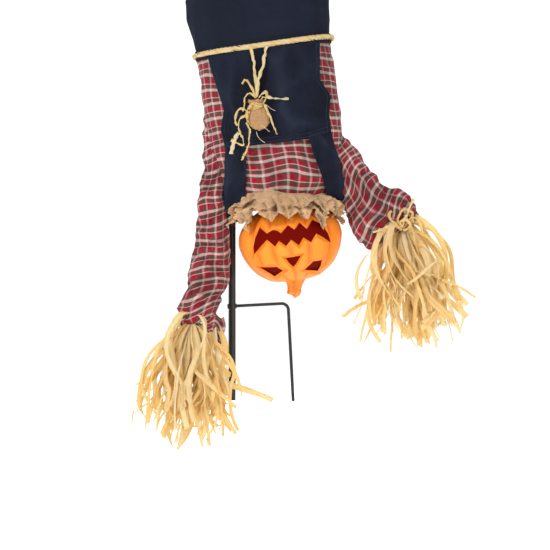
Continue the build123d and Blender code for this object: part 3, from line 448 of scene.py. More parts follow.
def pumpkin_skin():
    """Moulded orange shell, deeper in the grooves and mottled."""
    m = Material("pumpkin_orange")
    colour = m.ramp(m.tone(), [
        (0.0, rgb(255, 144, 32)), (0.45, rgb(248, 130, 24)), (1.0, rgb(226, 102, 14))])
    colour = m.mix(m.fade(m.noise(26, 5), 0.35, 0.75, 0, 0.45), colour, rgb(255, 154, 48))
    colour = m.mix(m.fade(m.noise(260, 3), 0.64, 0.74, 0, 0.3), colour, rgb(206, 100, 24))
    normal = m.bump(m.noise(420, 4), 0.18, 0.0006)
    normal = m.bump(m.noise(55, 3), 0.22, 0.002, normal)
    return m.finish(colour, 0.5, normal, Subsurface_Weight=0.05, Subsurface_Scale=0.3,
                    Subsurface_Radius=(0.02, 0.008, 0.003), Specular_IOR_Level=0.35)


def cut_wall():
    """The inside edge of the openings, mottled, a little darker than the skin as painted shade on the bevels."""
    m = Material("pumpkin_cut")
    colour = m.ramp(m.noise(40, 4), [(0.3, rgb(226, 112, 20)), (0.7, rgb(246, 140, 36))])
    normal = m.bump(m.noise(300, 4), 0.2, 0.0006)
    return m.finish(colour, 0.55, normal, Specular_IOR_Level=0.3)


def red_film():
    """Dark red film behind the face, with a faint painted glow."""
    m = Material("red_film")
    colour = m.mix(m.noise(14, 3), rgb(84, 3, 0), rgb(104, 8, 1))
    normal = m.bump(m.noise(180, 3), 0.15, 0.001)
    # the emission is a painted glow: the film is lit by no lamp
    return m.finish(colour, 0.8, normal, Emission_Color=rgb(96, 4, 0), Emission_Strength=0.3,
                    Specular_IOR_Level=0.05)


def painted_steel(name, base, worn, gloss):
    """Paint with small worn spots along the tube."""
    m = Material(name)
    chips = m.noise(46, 6)
    scratch = m.noise(1.0, 4, m.stretched(m.coords.outputs["Object"], (300, 300, 16)))
    share = m.fade(m.math("MULTIPLY", chips, scratch), 0.34, 0.42, 0, 0.75)
    colour = m.mix(share, base, worn)
    rough = m.math("MULTIPLY_ADD", m.noise(90, 3), 0.25, gloss)
    normal = m.bump(m.noise(700, 3), 0.12, 0.0004)
    return m.finish(colour, rough, normal, Specular_IOR_Level=0.5)


def bare_metal(name, base):
    """Brushed metal."""
    m = Material(name)
    brushed = m.noise(1.0, 4, m.stretched(m.coords.outputs["Object"], (90, 90, 1200)))
    colour = m.mix(brushed, base, rgb(220, 220, 214))
    return m.finish(colour, m.math("MULTIPLY_ADD", brushed, 0.3, 0.25),
                    m.bump(brushed, 0.1, 0.0003), Metallic=1.0)


def moulded(name, base, light, roughness=0.5):
    """Plain plastic, tape or thread with a faint mottle and grain."""
    m = Material(name)
    colour = m.mix(m.fade(m.noise(35, 4), 0.35, 0.7), base, light)
    return m.finish(colour, roughness, m.bump(m.noise(900, 2), 0.2, 0.0003))


def fibre_fill():
    """White stuffing."""
    m = Material("fibre_fill")
    fluff = m.noise(120, 6)
    return m.finish(m.mix(fluff, rgb(206, 204, 196), rgb(244, 243, 238)), 0.95,
                    m.bump(fluff, 0.8, 0.004))


PLAID, DENIM, STRAW = plaid(), denim(), straw()
BURLAP = burlap("burlap_collar", rgb(240, 196, 146), rgb(218, 170, 120))
POUCH = burlap("burlap_pouch", rgb(200, 150, 98), rgb(166, 118, 70))
PUMPKIN, CUT, FILM = pumpkin_skin(), cut_wall(), red_film()
BLACK_STEEL = painted_steel("steel_black", rgb(22, 20, 17), rgb(70, 60, 48), 0.28)
BLACK_TAPE = moulded("black_tape", rgb(16, 15, 15), rgb(34, 32, 31), 0.6)
BLACK_PLASTIC = moulded("black_plastic", rgb(20, 20, 20), rgb(34, 34, 34), 0.55)
BARE_STEEL = bare_metal("bare_steel", rgb(150, 150, 146))
LED = moulded("led_clear", rgb(250, 225, 170), rgb(255, 245, 215), 0.15)
CELL = moulded("cell_wrap", rgb(70, 74, 80), rgb(90, 94, 100), 0.3)
THREAD = moulded("loose_thread", rgb(214, 190, 150), rgb(240, 226, 200), 0.9)
SEAM = moulded("navy_thread", rgb(36, 40, 56), rgb(48, 53, 70), 0.8)

for slot_name, material in {
    "steel_black": BLACK_STEEL, "plug_plastic": BLACK_PLASTIC, "bare_steel": BARE_STEEL,
    "red_film": FILM, "socket_plastic": BLACK_PLASTIC, "led": LED, "cable_black": BLACK_PLASTIC,
    "box_plastic": BLACK_PLASTIC, "cell_wrap": CELL, "stuffing": fibre_fill(),
    "pumpkin_orange": PUMPKIN, "plaid_flannel": PLAID, "denim": DENIM, "burlap": BURLAP,
    "raffia": STRAW, "black_tape": BLACK_TAPE,
}.items():
    for entry in frame["record"]["subparts"]:
        if entry["material_slot"] == slot_name:
            node = frame["nodes"][entry["node"]]
            node.data.materials.clear()
            node.data.materials.append(material)


# ---------------------------------------------------------------- torso: shirt and overalls
TORSO_H = [-36, 31, 98, 165, 232, 298, 345, 392, 438]
TORSO_HALF_WIDTH = [100, 139, 146, 149, 148, 145, 146, 151, 149]
TORSO_HALF_DEPTH = [48, 68, 74, 77, 78, 77, 78, 82, 81]


def torso_size(h):
    """Half width and half depth, closing in below the shoulders."""
    width = np.interp(h, TORSO_H, TORSO_HALF_WIDTH)
    depth = np.interp(h, TORSO_H, TORSO_HALF_DEPTH)
    low = np.clip((31 - h) / 67, 0, 1)
    return width + 16 * np.sin(low * math.pi) * 0.8, depth + 7 * np.sin(low * math.pi)


def torso_point(angle, h, lift):
    """A point on the torso: angle 0 is the raised side, 90 degrees the front."""
    width, depth = torso_size(h)
    u = (width + lift) * np.cos(angle)
    return spot(u, TORSO_Y - (depth + lift) * np.sin(angle), h)


def front_point(u, h, lift):
    """A point on the torso's front at u; lift stands it off the shirt."""
    width, depth = torso_size(h)
    share = np.clip(u / (width + lift), -0.985, 0.985)
    return spot(share * (width + lift), TORSO_Y - (depth + lift) * np.sqrt(1 - share**2), h)


def cloth_folds(points, seed, size):
    """Soft folds and finer crumples, in millimetres."""
    broad = waves(points, seed, 95)
    fine = creases(points * np.array([1.0, 1.0, 0.7]), seed + 1, 55)
    return size * (0.6 * broad + 1.1 * (fine - 0.5) + 0.25 * waves(points, seed + 2, 22))


rows, columns = 150, 260
angle, h = np.meshgrid(full_turn(columns), np.linspace(-37, 302, rows))
base = torso_point(angle, h, 0)
gather = np.clip((25 - h) / 60, 0, 1)
pleats = np.sin(angle * 23 + 2.0 * np.sin(angle * 3)) * 2.2 * gather
lift = 0.8 + cloth_folds(base, 11, 1.9) + pleats
shirt_points = torso_point(angle, h + 3 * gather * np.sin(angle * 5), lift)
wrap = np.linspace(0, 2 * math.pi, columns + 1) * CLOTH_PER_RADIAN
closed = np.concatenate([shirt_points, shirt_points[:, :1]], axis=1)
# the weave wanders a little, as cloth does over stuffing
shirt_uv = paired(
    wrap[None, :] + waves(closed, 14, 130) * 0.002,
    h[:, :1] / 1000 + waves(closed, 15, 110) * 0.0026 + (closed[..., 0] - 113) * 0.00012)
# the shirt's tone follows its folds and sets their painted shade
place(sheet("shirt_body_cloth", shirt_points, shirt_uv, PLAID, closed=True,
            tone=0.5 + (lift - 0.8) * 0.13),
      "figure", "plaid_flannel", "shirt_body", "torso_stuffing")


def bib_left(h):
    """The bib's edge on the hanging arm's side."""
    return np.interp(h, [90, 100, 138, 180, 275, 300], [-115, -114, -118, -105, -121, -124])


def bib_right(h):
    """The bib's edge on the raised arm's side."""
    return np.interp(h, [90, 101, 137, 180, 216, 241, 300], [120, 121, 122, 131, 113, 115, 124])


def bib_hem(s):
    """The hem's height at a share of the bib's width."""
    return np.interp(s, [0, 0.24, 0.5, 0.78, 1], [97, 93.5, 92, 91, 100])


def denim_bib(name, lift, seed, hem):
    """The bib between its edges, hugging the torso, with a folded hem of the given width."""
    t, s = np.meshgrid(np.linspace(0, 1, 90), np.linspace(0, 1, 80), indexing="ij")
    low = bib_hem(s)
    height = low + (301 - low) * t
    width = bib_right(height) - bib_left(height)
    u = bib_left(height) + width * s
    base = front_point(u, height, lift)
    long_folds = waves(base * np.array([1.0, 1.0, 0.28]), seed, 60)
    wrinkle = creases(base * np.array([1.0, 1.0, 0.45]), seed + 3, 75)
    rise = lift + 3.0 * long_folds + 5.0 * (wrinkle - 0.5) + 0.6 * waves(base, seed + 1, 18)
    # the tone follows the folds: painted shade in their hollows, painted highlight on their ridges
    tone = 0.5 + 0.14 * long_folds + 0.45 * (wrinkle - 0.5)
    from_hem = height - low
    rise += 1.6 * np.exp(-((from_hem - hem / 2) / (hem * 0.45)) ** 4) - 1.2 * np.exp(
        -((from_hem - hem - 1.5) / 1.8) ** 2)
    rise += 1.2 * np.exp(-((np.minimum(s, 1 - s) * width - 4) / 4) ** 2)
    points = front_point(u, height, np.maximum(rise, 5.5))
    uv = np.stack([u / 1000, height / 1000], axis=-1)
    return sheet(name, points, uv, DENIM, thick=2.2, tone=tone)


place(denim_bib("overalls_bib_cloth", 9.0, 31, 15), "figure", "denim", "overalls_bib")


def strap_sheet(name, edges, turn_depth, seed, stands_for):
    """A denim band down the front, round below the shirt and up the back; edges: h, u, u."""
    steps_across = 22
    back_top = 300
    lift = 6.6
    s = np.linspace(0, 1, steps_across)
    lines, v = [], []
    front_h = np.array([e[0] for e in edges], float)
    for h in np.linspace(front_h[0], 2, 46):
        a = np.interp(-h, -front_h, [e[1] for e in edges])
        b = np.interp(-h, -front_h, [e[2] for e in edges])
        lines.append(front_point(a + (b - a) * s, np.full_like(s, h), lift))
    a = np.interp(-2, -front_h, [e[1] for e in edges])
    b = np.interp(-2, -front_h, [e[2] for e in edges])
    low_a, low_b = edges[-1][1], edges[-1][2]
    front_line = lines[-1]
    back_line = front_line.copy()
    back_line[:, 1] = 2 * TORSO_Y - front_line[:, 1]
    for turn in np.linspace(0, math.pi, 34)[1:-1]:
        share = (1 - math.cos(turn)) / 2
        drop = math.sin(turn) ** 0.8
        row = front_line * (1 - share) + back_line * share
        shift = ((low_a + (low_b - low_a) * s) - (a + (b - a) * s)) * drop
        row = row + shift[:, None] * BAR - BODY * turn_depth * drop
        lines.append(row)
    sign = 1 if a > 0 else -1
    for h in np.linspace(2, back_top, 60):
        move = np.interp(h, [2, back_top], [0, -28 * sign])
        row = front_point(a + (b - a) * s + move, np.full_like(s, h), lift)
        row[:, 1] = 2 * TORSO_Y - row[:, 1]
        lines.append(row)
    points = np.array(lines)
    run = run_along(points[:, steps_across // 2])
    middle = spot(0.0, TORSO_Y, 60.0)
    outward = unit(points - (middle + (points @ BODY)[..., None] * BODY - (middle @ BODY) * BODY))
    fold = 2.0 * waves(points * np.array([1, 1, 0.3]), seed, 45) + 2.6 * (
        creases(points, seed + 1, 80) - 0.4)
    edge = np.minimum(s, 1 - s) * 44
    piping = 1.1 * np.exp(-((edge - 3.5) / 3) ** 2) - 0.8 * np.exp(-((edge - 8) / 1.4) ** 2)
    # the tone follows the folds, with some random change: painted shade in their hollows, painted highlight on
    # their ridges
    tone = 0.5 + 0.12 * fold + 0.1 * waves(points, seed + 5, 30)
    points = points + outward * (np.maximum(fold, -1.0) + piping[None, :])[..., None]
    uv = paired(s[None, :] * 0.044, run[:, None] / 1000)
    place(sheet(name, points, uv, DENIM, thick=2.0, tone=tone), "figure", "denim", stands_for)


strap_sheet("strap_hanging_side", [
    (100, -114, -67), (40, -120, -74), (0, -128, -84), (-25, -134, -90)], 62, 41,
    "hanging_side_strap")
strap_sheet("strap_raised_side", [
    (104, 69, 121), (40, 80, 126), (0, 90, 130), (-43, 96, 131)], 56, 47, "raised_side_strap")

# seat of the overalls, open round the hips
rows, columns = 70, 220
angle, h = np.meshgrid(full_turn(columns), np.linspace(298, 452, rows))
base = torso_point(angle, h, 3)
waistband = 1.8 * (h < 320) - 1.4 * np.exp(-((h - 321) / 2) ** 2)
lift = (5.0 + waistband + 2.2 * waves(base * [1, 1, 0.4], 51, 60)
        + 2.2 * (creases(base, 52, 75) - 0.4))
close_in = 1 - 0.20 * np.clip((h - 432) / 20, 0, 1) ** 2
seat_points = torso_point(angle, np.minimum(h, 444), lift)
seat_middle = spot(0.0, TORSO_Y, np.minimum(h, 444.0))
seat_points = seat_middle + (seat_points - seat_middle) * close_in[..., None]
# the cloth between the legs
crotch = spot(0.0, LEG_Y, 452.0)
closing = [seat_points[-1] + (crotch - seat_points[-1]) * share + BODY * (
    10 * math.sin(share * math.pi / 2)) for share in (0.12, 0.3, 0.5, 0.7, 0.85, 0.97)]
seat_points = np.concatenate([seat_points, np.array(closing)])
h = np.concatenate([h, h[-1:] + np.array([[12], [30], [48], [66], [80], [90]])])
wrap = np.linspace(0, 2 * math.pi, columns + 1) * CLOTH_PER_RADIAN
seat_uv = paired(wrap[None, :], h[:, :1] / 1000)
place(sheet("overalls_seat_cloth", seat_points, seat_uv, DENIM, closed=True, thick=2.2),
      "figure", "denim", "overalls_seat", "seat_stuffing")


# ---------------------------------------------------------------- stitching
def stitch_line(path, length=3.2, gap=1.8):
    """Short raised threads along a line."""
    run = run_along(path)
    starts = np.arange(0, run[-1] - length, length + gap)
    out = []
    for start in starts:
        at = start + length * np.array([0, 0.2, 0.8, 1.0])
        out.append(np.stack([np.interp(at, run, path[:, k]) for k in range(3)], axis=1)
                   + FRONT * np.array([-0.5, 0.25, 0.25, -0.5])[:, None])
    return out


s = np.linspace(0.02, 0.98, 120)
hem_low = bib_hem(s)
hem_u = bib_left(hem_low) + (bib_right(hem_low) - bib_left(hem_low)) * s
stitches = []
for up in (4.0, 12.5):
    stitches += stitch_line(front_point(hem_u, hem_low + up, 12.6))
up_edge = np.linspace(104, 296, 120)
for edge_of, inset in ((bib_left, 7), (bib_right, -7)):
    stitches += stitch_line(front_point(edge_of(up_edge) + inset, up_edge, 12.0))
place(tubes("bib_stitches", stitches, 0.45, SEAM, sides=4), "figure", "denim")


# ---------------------------------------------------------------- burlap collar
def collar_layer(name, seed, flaps, from_h, band, lengths, stand_off, *stands_for):
    """A gathered ring of burlap with pointed flaps; returns its grid of points."""
    rows, columns = 56, 700
    t, angle = np.meshgrid(np.linspace(0, 1, rows), full_turn(columns), indexing="ij")
    rng = np.random.default_rng(seed)
    reach = np.zeros_like(angle)
    for k in range(flaps):
        middle = (k + rng.uniform(-0.3, 0.3)) * 2 * math.pi / flaps
        off = np.abs((angle - middle + math.pi) % (2 * math.pi) - math.pi)
        width = rng.uniform(0.8, 1.25) * math.pi / flaps
        reach = np.maximum(reach, rng.uniform(*lengths) * np.clip(1 - off / width, 0, 1) ** 0.85)
    side = np.exp(-(((angle - 2.9) / 0.3) ** 2))
    circle = np.stack([np.cos(angle) * 112, np.sin(angle) * 112, 0 * angle], -1)
    reach = reach + 3 + 2.0 * waves(circle, seed + 1, 20) + 22 * side
    drop = t * (band + reach)
    low = from_h - drop
    ring_u = 101 + 13 * np.sin(np.clip(-(low + 20) / 30, 0, 1) * math.pi / 2)
    ring_y = 60 + 58 * np.clip(-(low + 20) / 36, 0, 1) ** 0.7
    cloth = circle + np.array([0, 0, 1.0]) * (drop * 1.2)[..., None]
    pleat = 8.0 * (0.5 - np.abs(np.sin(angle * 15 + seed + 1.6 * np.sin(angle * 4) + t * 1.6)))
    crumple = (3.0 * waves(cloth, seed + 2, 26) + 8.0 * (creases(cloth, seed + 3, 34) - 0.45)
               + 4.0 * (creases(cloth, seed + 4, 15) - 0.5))
    out = (pleat + crumple) * np.clip(t * 2.5, 0.5, 1) + stand_off
    curled = waves(circle, seed + 5, 24) > 0
    out = out + 9 * np.clip(t - 0.7, 0, 1) / 0.3 * curled
    cu, cy = np.cos(angle), np.sin(angle)
    height = low - 0.16 * ring_u * cu + 3.5 * waves(circle, seed + 6, 50) * (1 - t)
    head_r = np.interp(height - HEAD_H, [-20, 5, 30, 56, 75], [111, 116, 111, 90, 58])
    limit = head_r + 2.5 + np.maximum(out, 0)
    wide = np.sqrt((ring_u * cu) ** 2 + (ring_y * cy) ** 2)
    settle = np.where(height < -50, np.maximum(wide + out, limit), wide + out)
    share = settle / np.maximum(wide, 1)
    points = spot(ring_u * cu * share, HEAD_Y - ring_y * cy * share, height)
    uv = paired(np.linspace(0, 2 * math.pi, columns + 1)[None, :] * 0.12,
                np.linspace(0, 0.075, rows)[:, None])
    # the tone follows the crumples: painted shade where the cloth sinks in
    place(sheet(name, points, uv, BURLAP, closed=True, thick=1.4,
                tone=0.58 + (out - stand_off) * 0.05), "figure", "burlap", *stands_for)
    return points


collar_points = collar_layer("burlap_collar_under", 73, 16, -24, 27, (20, 54), 4, "collar_ruffle")
over_points = collar_layer("burlap_collar_over", 92, 13, -18, 16, (12, 36), 10)

# frayed yarns along the collar's edge
rng = np.random.default_rng(74)
frays = []
for k in range(220):
    layer = collar_points if k % 2 else over_points
    j = rng.integers(0, layer.shape[1])
    start = layer[-1, j]
    away = unit(start - layer[-5, j])
    side = unit(rng.normal(size=3))
    length = rng.uniform(3, 11)
    k = np.linspace(0, 1, 6)[:, None]
    frays.append(start + away * length * k + side * length * 0.4 * k**2)
place(tubes("collar_frays", frays, 0.35, BURLAP, sides=4), "figure", "burlap")


# ---------------------------------------------------------------- jack-o'-lantern head
PROFILE_R = [30, 34, 58, 90, 110, HEAD_R, 111, 102.5, 87, 68, 50, 18, 6]
PROFILE_H = [71, 74, 75, 56, 30, 5, -17, -38, -60, -75, -84, -89, -86]
outline = curve_through(np.stack([PROFILE_R, PROFILE_H], axis=1), 110)


def head_surface(around, r, h, inset, ribs):
    """Ribbed pumpkin surface; grooves run from neck to stem."""
    wave = np.abs(np.sin(around * 7 + 0.55 * np.sin(around * 3 + 0.6) + 0.0025 * h))
    groove = (1 - wave) ** 1.5
    size = np.clip(r / HEAD_R, 0, 1)
    radius = r - inset * size - ribs * 6.0 * groove * size**0.6
    height = h * (1 - inset / HEAD_R)
    if ribs:
        height = height + 1.5 * np.sin(around * 5 + 1) * (np.abs(h) > 60) * size
    u = radius * np.sin(around)
    y = HEAD_Y - radius * np.cos(around)
    return spot(u, y, HEAD_H + height), groove


columns = 300
r_grid, a_grid = np.meshgrid(outline[:, 0], full_turn(columns), indexing="ij")
h_grid = np.repeat(outline[:, 1][:, None], columns, axis=1)
outer, groove = head_surface(a_grid, r_grid, h_grid, 0, 1)
inner, _ = head_surface(a_grid, r_grid, h_grid, 9.5, 0)
rows = len(outline)
count = rows * columns
faces, _ = grid_faces(rows, columns, closed=True)
shell_faces = list(faces[:, ::-1]) + list(faces + count)
ring = np.arange(columns)
for row in (0, rows - 1):
    a = row * columns + ring
    b = row * columns + (ring + 1) % columns
    quads = np.stack([a, b, b + count, a + count], axis=1)
    shell_faces += list(quads if row == 0 else quads[:, ::-1])
head = add_mesh("pumpkin_head_shell", np.concatenate([outer.reshape(-1, 3), inner.reshape(-1, 3)]),
                shell_faces, tone=np.concatenate([groove.ravel(), np.zeros(count)]),
                material=PUMPKIN)
head.data.materials.append(CUT)

MOUTH = [
    (-84, -19), (-83, -2), (-76, 17), (-63, 38), (-50, 21), (-36, 27), (-27, 24),
    (-19, 16), (-2, 32), (11, 20), (24, 34), (38, 18), (53, 38), (66, 30), (76, 18), (83, 4),
    (87, -17), (72, -4), (57, 8), (43, -9), (28, 4), (16, -11), (1, 3), (-12, -9), (-26, 4),
    (-36, -7), (-51, 10), (-66, -3),
]
NOSE = [(-15, -38), (15, -37), (-2, -58)]
EYES = [
    [(-75, -49), (-38, -54), (-26, -63), (-46, -73)],
    [(21, -68), (42, -53), (62, -52), (58, -63), (50, -74)],
]


def densify(polygon, step, other=None):
    """Points along the polygon's sides, or at the same shares of another's sides."""
    other = other or polygon
    out = []
    for a, b, c, d in zip(polygon, polygon[1:] + polygon[:1], other, other[1:] + other[:1]):
        pieces = max(1, int(round(np.linalg.norm(np.subtract(b, a)) / step)))
        c, d = np.array(c, float), np.array(d, float)
        out += [c + (d - c) * k / pieces for k in range(pieces)]
    return np.array(out)


def grown(polygon, amount):
    """The outline moved outwards, corners limited."""
    p = np.array(polygon, float)
    area = 0.5 * np.sum(p[:, 0] * np.roll(p[:, 1], -1) - np.roll(p[:, 0], -1) * p[:, 1])
    ahead = unit(np.roll(p, -1, axis=0) - p)
    behind = unit(p - np.roll(p, 1, axis=0))
    turn = 1 if area > 0 else -1
    n1 = np.stack([ahead[:, 1], -ahead[:, 0]], 1) * turn
    n2 = np.stack([behind[:, 1], -behind[:, 0]], 1) * turn
    n = unit(n1 + n2)
    stretch = np.minimum(1 / np.maximum((n * n1).sum(1), 0.3), 1.7)
    return [tuple(q) for q in p + n * (amount * stretch)[:, None]]


by_height = outline[np.argsort(outline[:, 1])]


def head_depth(u, h):
    """How far in front of the head's axis its surface lies at a point of the face."""
    r = np.interp(h, by_height[:, 1], by_height[:, 0])
    return np.sqrt(np.maximum(r**2 - u**2, 120.0))


def carve(polygon, bevel):
    """Cuts a bevelled opening through the front of the head."""
    inner_line = densify(polygon, 7)
    outer_line = densify(polygon, 7, grown(polygon, bevel))
    far = outer_line + (outer_line - inner_line) * 0.6
    rings = []
    for line, ahead in ((far, 9), (outer_line, 0.5), (inner_line, -8.0), (inner_line, -26.0)):
        depth = head_depth(line[:, 0], line[:, 1]) + ahead
        rings.append(spot(line[:, 0], HEAD_Y - depth, HEAD_H + line[:, 1]))
    n = len(inner_line)
    quads, _ = grid_faces(len(rings), n, closed=True)
    ends = [list(range(n))[::-1], list(range(3 * n, 4 * n))]
    cutter = add_mesh("cutter", np.concatenate(rings), list(quads) + ends, smooth=False,
                      material=PUMPKIN)
    cutter.data.materials.append(CUT)
    for face in cutter.data.polygons:
        face.material_index = 1
    bpy.context.view_layer.objects.active = cutter
    cutter.select_set(True)
    bpy.ops.object.mode_set(mode="EDIT")
    bpy.ops.mesh.select_all(action="SELECT")
    bpy.ops.mesh.quads_convert_to_tris()
    bpy.ops.mesh.normals_make_consistent(inside=False)
    bpy.ops.object.mode_set(mode="OBJECT")
    cutter.select_set(False)
    cut = head.modifiers.new("opening", "BOOLEAN")
    cut.object = cutter
    cut.operation = "DIFFERENCE"
    cut.solver = "EXACT"
    bpy.context.view_layer.objects.active = head
    bpy.ops.object.modifier_apply(modifier="opening")
    bpy.data.objects.remove(cutter)


bpy.context.view_layer.objects.active = head
for polygon in (MOUTH, NOSE, *EYES):
    carve(polygon, FACE_BEVEL)
for face in head.data.polygons:
    if face.material_index == 1:
        face.use_smooth = False
head.data.update()
place(head, "head", "pumpkin_orange", "head_shell")

# fluted stem, bent to one side
steps, columns = 34, 40
along = np.linspace(0, 1, steps)
turn = full_turn(columns)
stem_r = np.interp(along, [0, 0.12, 0.35, 0.6, 0.8, 0.93, 1.0], [30, 20, 15.5, 14, 14.5, 11, 2])
stem_u = np.interp(along, [0, 0.3, 1.0], [-2, -4, -10])
stem_h = np.interp(along, [0, 0.12, 1.0], [-85, -90, -122])
flute = 1 + 0.13 * np.cos(5 * turn[None, :] + 1.8 * along[:, None] + 0.5) + 0.05 * np.cos(
    11 * turn[None, :] + 2)
r = stem_r[:, None] * flute
slant = 5 * np.cos(turn - 2.6) * np.clip(along[:, None] * 3 - 2, 0, 1)
stem_points = spot(stem_u[:, None] + r * np.cos(turn), HEAD_Y - 2 - r * 0.95 * np.sin(turn),
                   HEAD_H + stem_h[:, None] + slant)
faces, _ = grid_faces(steps, columns, closed=True)
stem = add_mesh("pumpkin_stem", stem_points.reshape(-1, 3),
                list(faces) + [list(range((steps - 1) * columns, steps * columns))],
                tone=(0.5 - 0.5 * (flute - 1) / 0.18).ravel(), material=PUMPKIN)
place(stem, "head", "pumpkin_orange")


# ---------------------------------------------------------------- sleeves
def sleeve_grid(edges, rows, columns):
    """Round cloth between two edges seen from the front: x1, z1, x2, z2, y, half depth."""
    path = curve_through(np.array(edges, float), rows)
    one = np.stack([path[:, 0], path[:, 4], path[:, 1]], axis=1)
    two = np.stack([path[:, 2], path[:, 4], path[:, 3]], axis=1)
    centre, half_w, half_d = (one + two) / 2, np.linalg.norm(one - two, axis=1) / 2, path[:, 5]
    across = unit(one - two)
    angle = full_turn(columns)
    c, d = np.cos(angle), np.sin(angle)
    points = (centre[:, None] + across[:, None] * (half_w[:, None] * c)[..., None]
              + FRONT * (half_d[:, None] * d)[..., None])
    normal = unit(across[:, None] * (c / np.maximum(half_w[:, None], 1))[..., None]
                  + FRONT * (d / np.maximum(half_d[:, None], 1))[..., None])
    return points, normal, run_along(centre), centre


def sleeve(name, edges, seed, fold, width_uv, fold_at, body, bend_from, bend_to, *stands_for):
    """A flannel sleeve, folded at some places."""
    cuff, rows, columns = 22, 170, 160
    points, normal, run, centre = sleeve_grid(edges, rows, columns)
    lift = fold * (0.9 * waves(points, seed, 80) + 2.0 * (creases(points, seed + 1, 62) - 0.5)
                   + 0.45 * waves(points, seed + 2, 22)
                   + 0.7 * (creases(points, seed + 4, 30) - 0.5))
    angle = full_turn(columns)[None, :]
    for place_at, depth, spread, tilt in fold_at:
        side = 0.35 + 0.65 * np.sin(angle) ** 2
        lift = lift - depth * side * np.exp(
            -(((run[:, None] - place_at + tilt * np.cos(angle)) / spread) ** 2))
    # the tone follows the folds and sets their painted shade
    tone = 0.5 + lift * 0.09
    pleats = np.sin(angle * 13 + 1.5 * np.sin(angle * 2 + seed)) * 2.6
    near_cuff = np.clip((run[:, None] - (run[-1] - cuff)) / cuff, 0, 1)
    lift = lift + pleats * near_cuff
    hem = run[-1] - run[:, None]
    lift = lift + 0.9 * (hem < 9) - 0.9 * np.exp(-((hem - 10) / 1.5) ** 2)
    points = points + normal * lift[..., None]
    wrap = np.linspace(0, width_uv, columns + 1)
    closed = np.concatenate([points, points[:, :1]], axis=1)
    slide = waves(closed, seed + 8, 90) * 0.004 + 0.25 * near_cuff * np.sin(wrap * 60) * 0.03
    uv = paired(wrap[None, :] + waves(closed, seed + 9, 100) * 0.0035,
                run[:, None] / 1000 + slide + (closed[..., 0] - centre[:, None, 0]) * 0.00018)
    made = sheet(name, points, uv, PLAID, closed=True, thick=1.5, flip=True, tone=tone)
    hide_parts(*stands_for)
    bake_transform(made)


HANGING_SHOULDER, RAISED_SHOULDER, HANGING_WRIST, RAISED_WRIST = (
    np.array(joints[joint]["pos_m"]) * 1000
    for joint in ("hanging_shoulder", "raised_shoulder", "hanging_wrist", "raised_wrist"))

# inner edge x, z, outer edge x, z, depth y, half depth
sleeve("sleeve_hanging", [
    (-14, 655, -58, 660, -14, 20), (-10, 608, -60, 612, -16, 24), (-6, 560, -61, 560, -20, 27),
    (-9, 512, -65, 512, -29, 31), (-13, 466, -73, 466, -37, 33), (-10, 415, -78, 415, -42, 33),
    (-7, 367, -82, 367, -46, 34), (-3, 305, -93, 300, -50, 36), (-6, 256, -104, 246, -55, 37),
    (-18, 226, -113, 212, -59, 36), (-33, 198, -118, 184, -63, 33), (-40, 180, -110, 168, -65, 28),
], 81, 2.0, 0.24, [
    # place along the sleeve, depth, spread, tilt
    (310, 5, 10, 14), (352, 6, 9, -20), (385, 6, 9, 16), (420, 5, 8, -12), (450, 5, 8, 14),
    (262, 3, 12, 24), (170, 4, 12, 30),
], "hanging_arm", HANGING_SHOULDER + [6, 0, 50], HANGING_SHOULDER + [-4, 0, -62],
    "hanging_sleeve", "hanging_arm_stuffing")
sleeve("sleeve_raised", [
    (222, 690, 180, 680, -14, 18), (229, 635, 192, 612, -17, 24), (250, 586, 210, 548, -24, 30),
    (276, 548, 232, 486, -32, 34), (305, 512, 246, 440, -38, 36), (334, 482, 258, 396, -42, 36),
    (358, 473, 276, 362, -44, 35), (378, 466, 298, 338, -46, 34), (394, 452, 322, 340, -46, 32),
    (405, 434, 344, 354, -46, 29), (411, 412, 362, 368, -46, 25), (404, 398, 370, 374, -46, 20),
], 91, 2.3, 0.29, [
    (150, 5, 11, 24), (205, 7, 10, -26), (245, 6, 9, 18), (280, 6, 8, -10), (305, 5, 6, 8),
], "raised_arm", RAISED_SHOULDER + [-22, 0, 40], RAISED_SHOULDER + [36, 0, -34],
    "raised_sleeve", "raised_arm_stuffing")


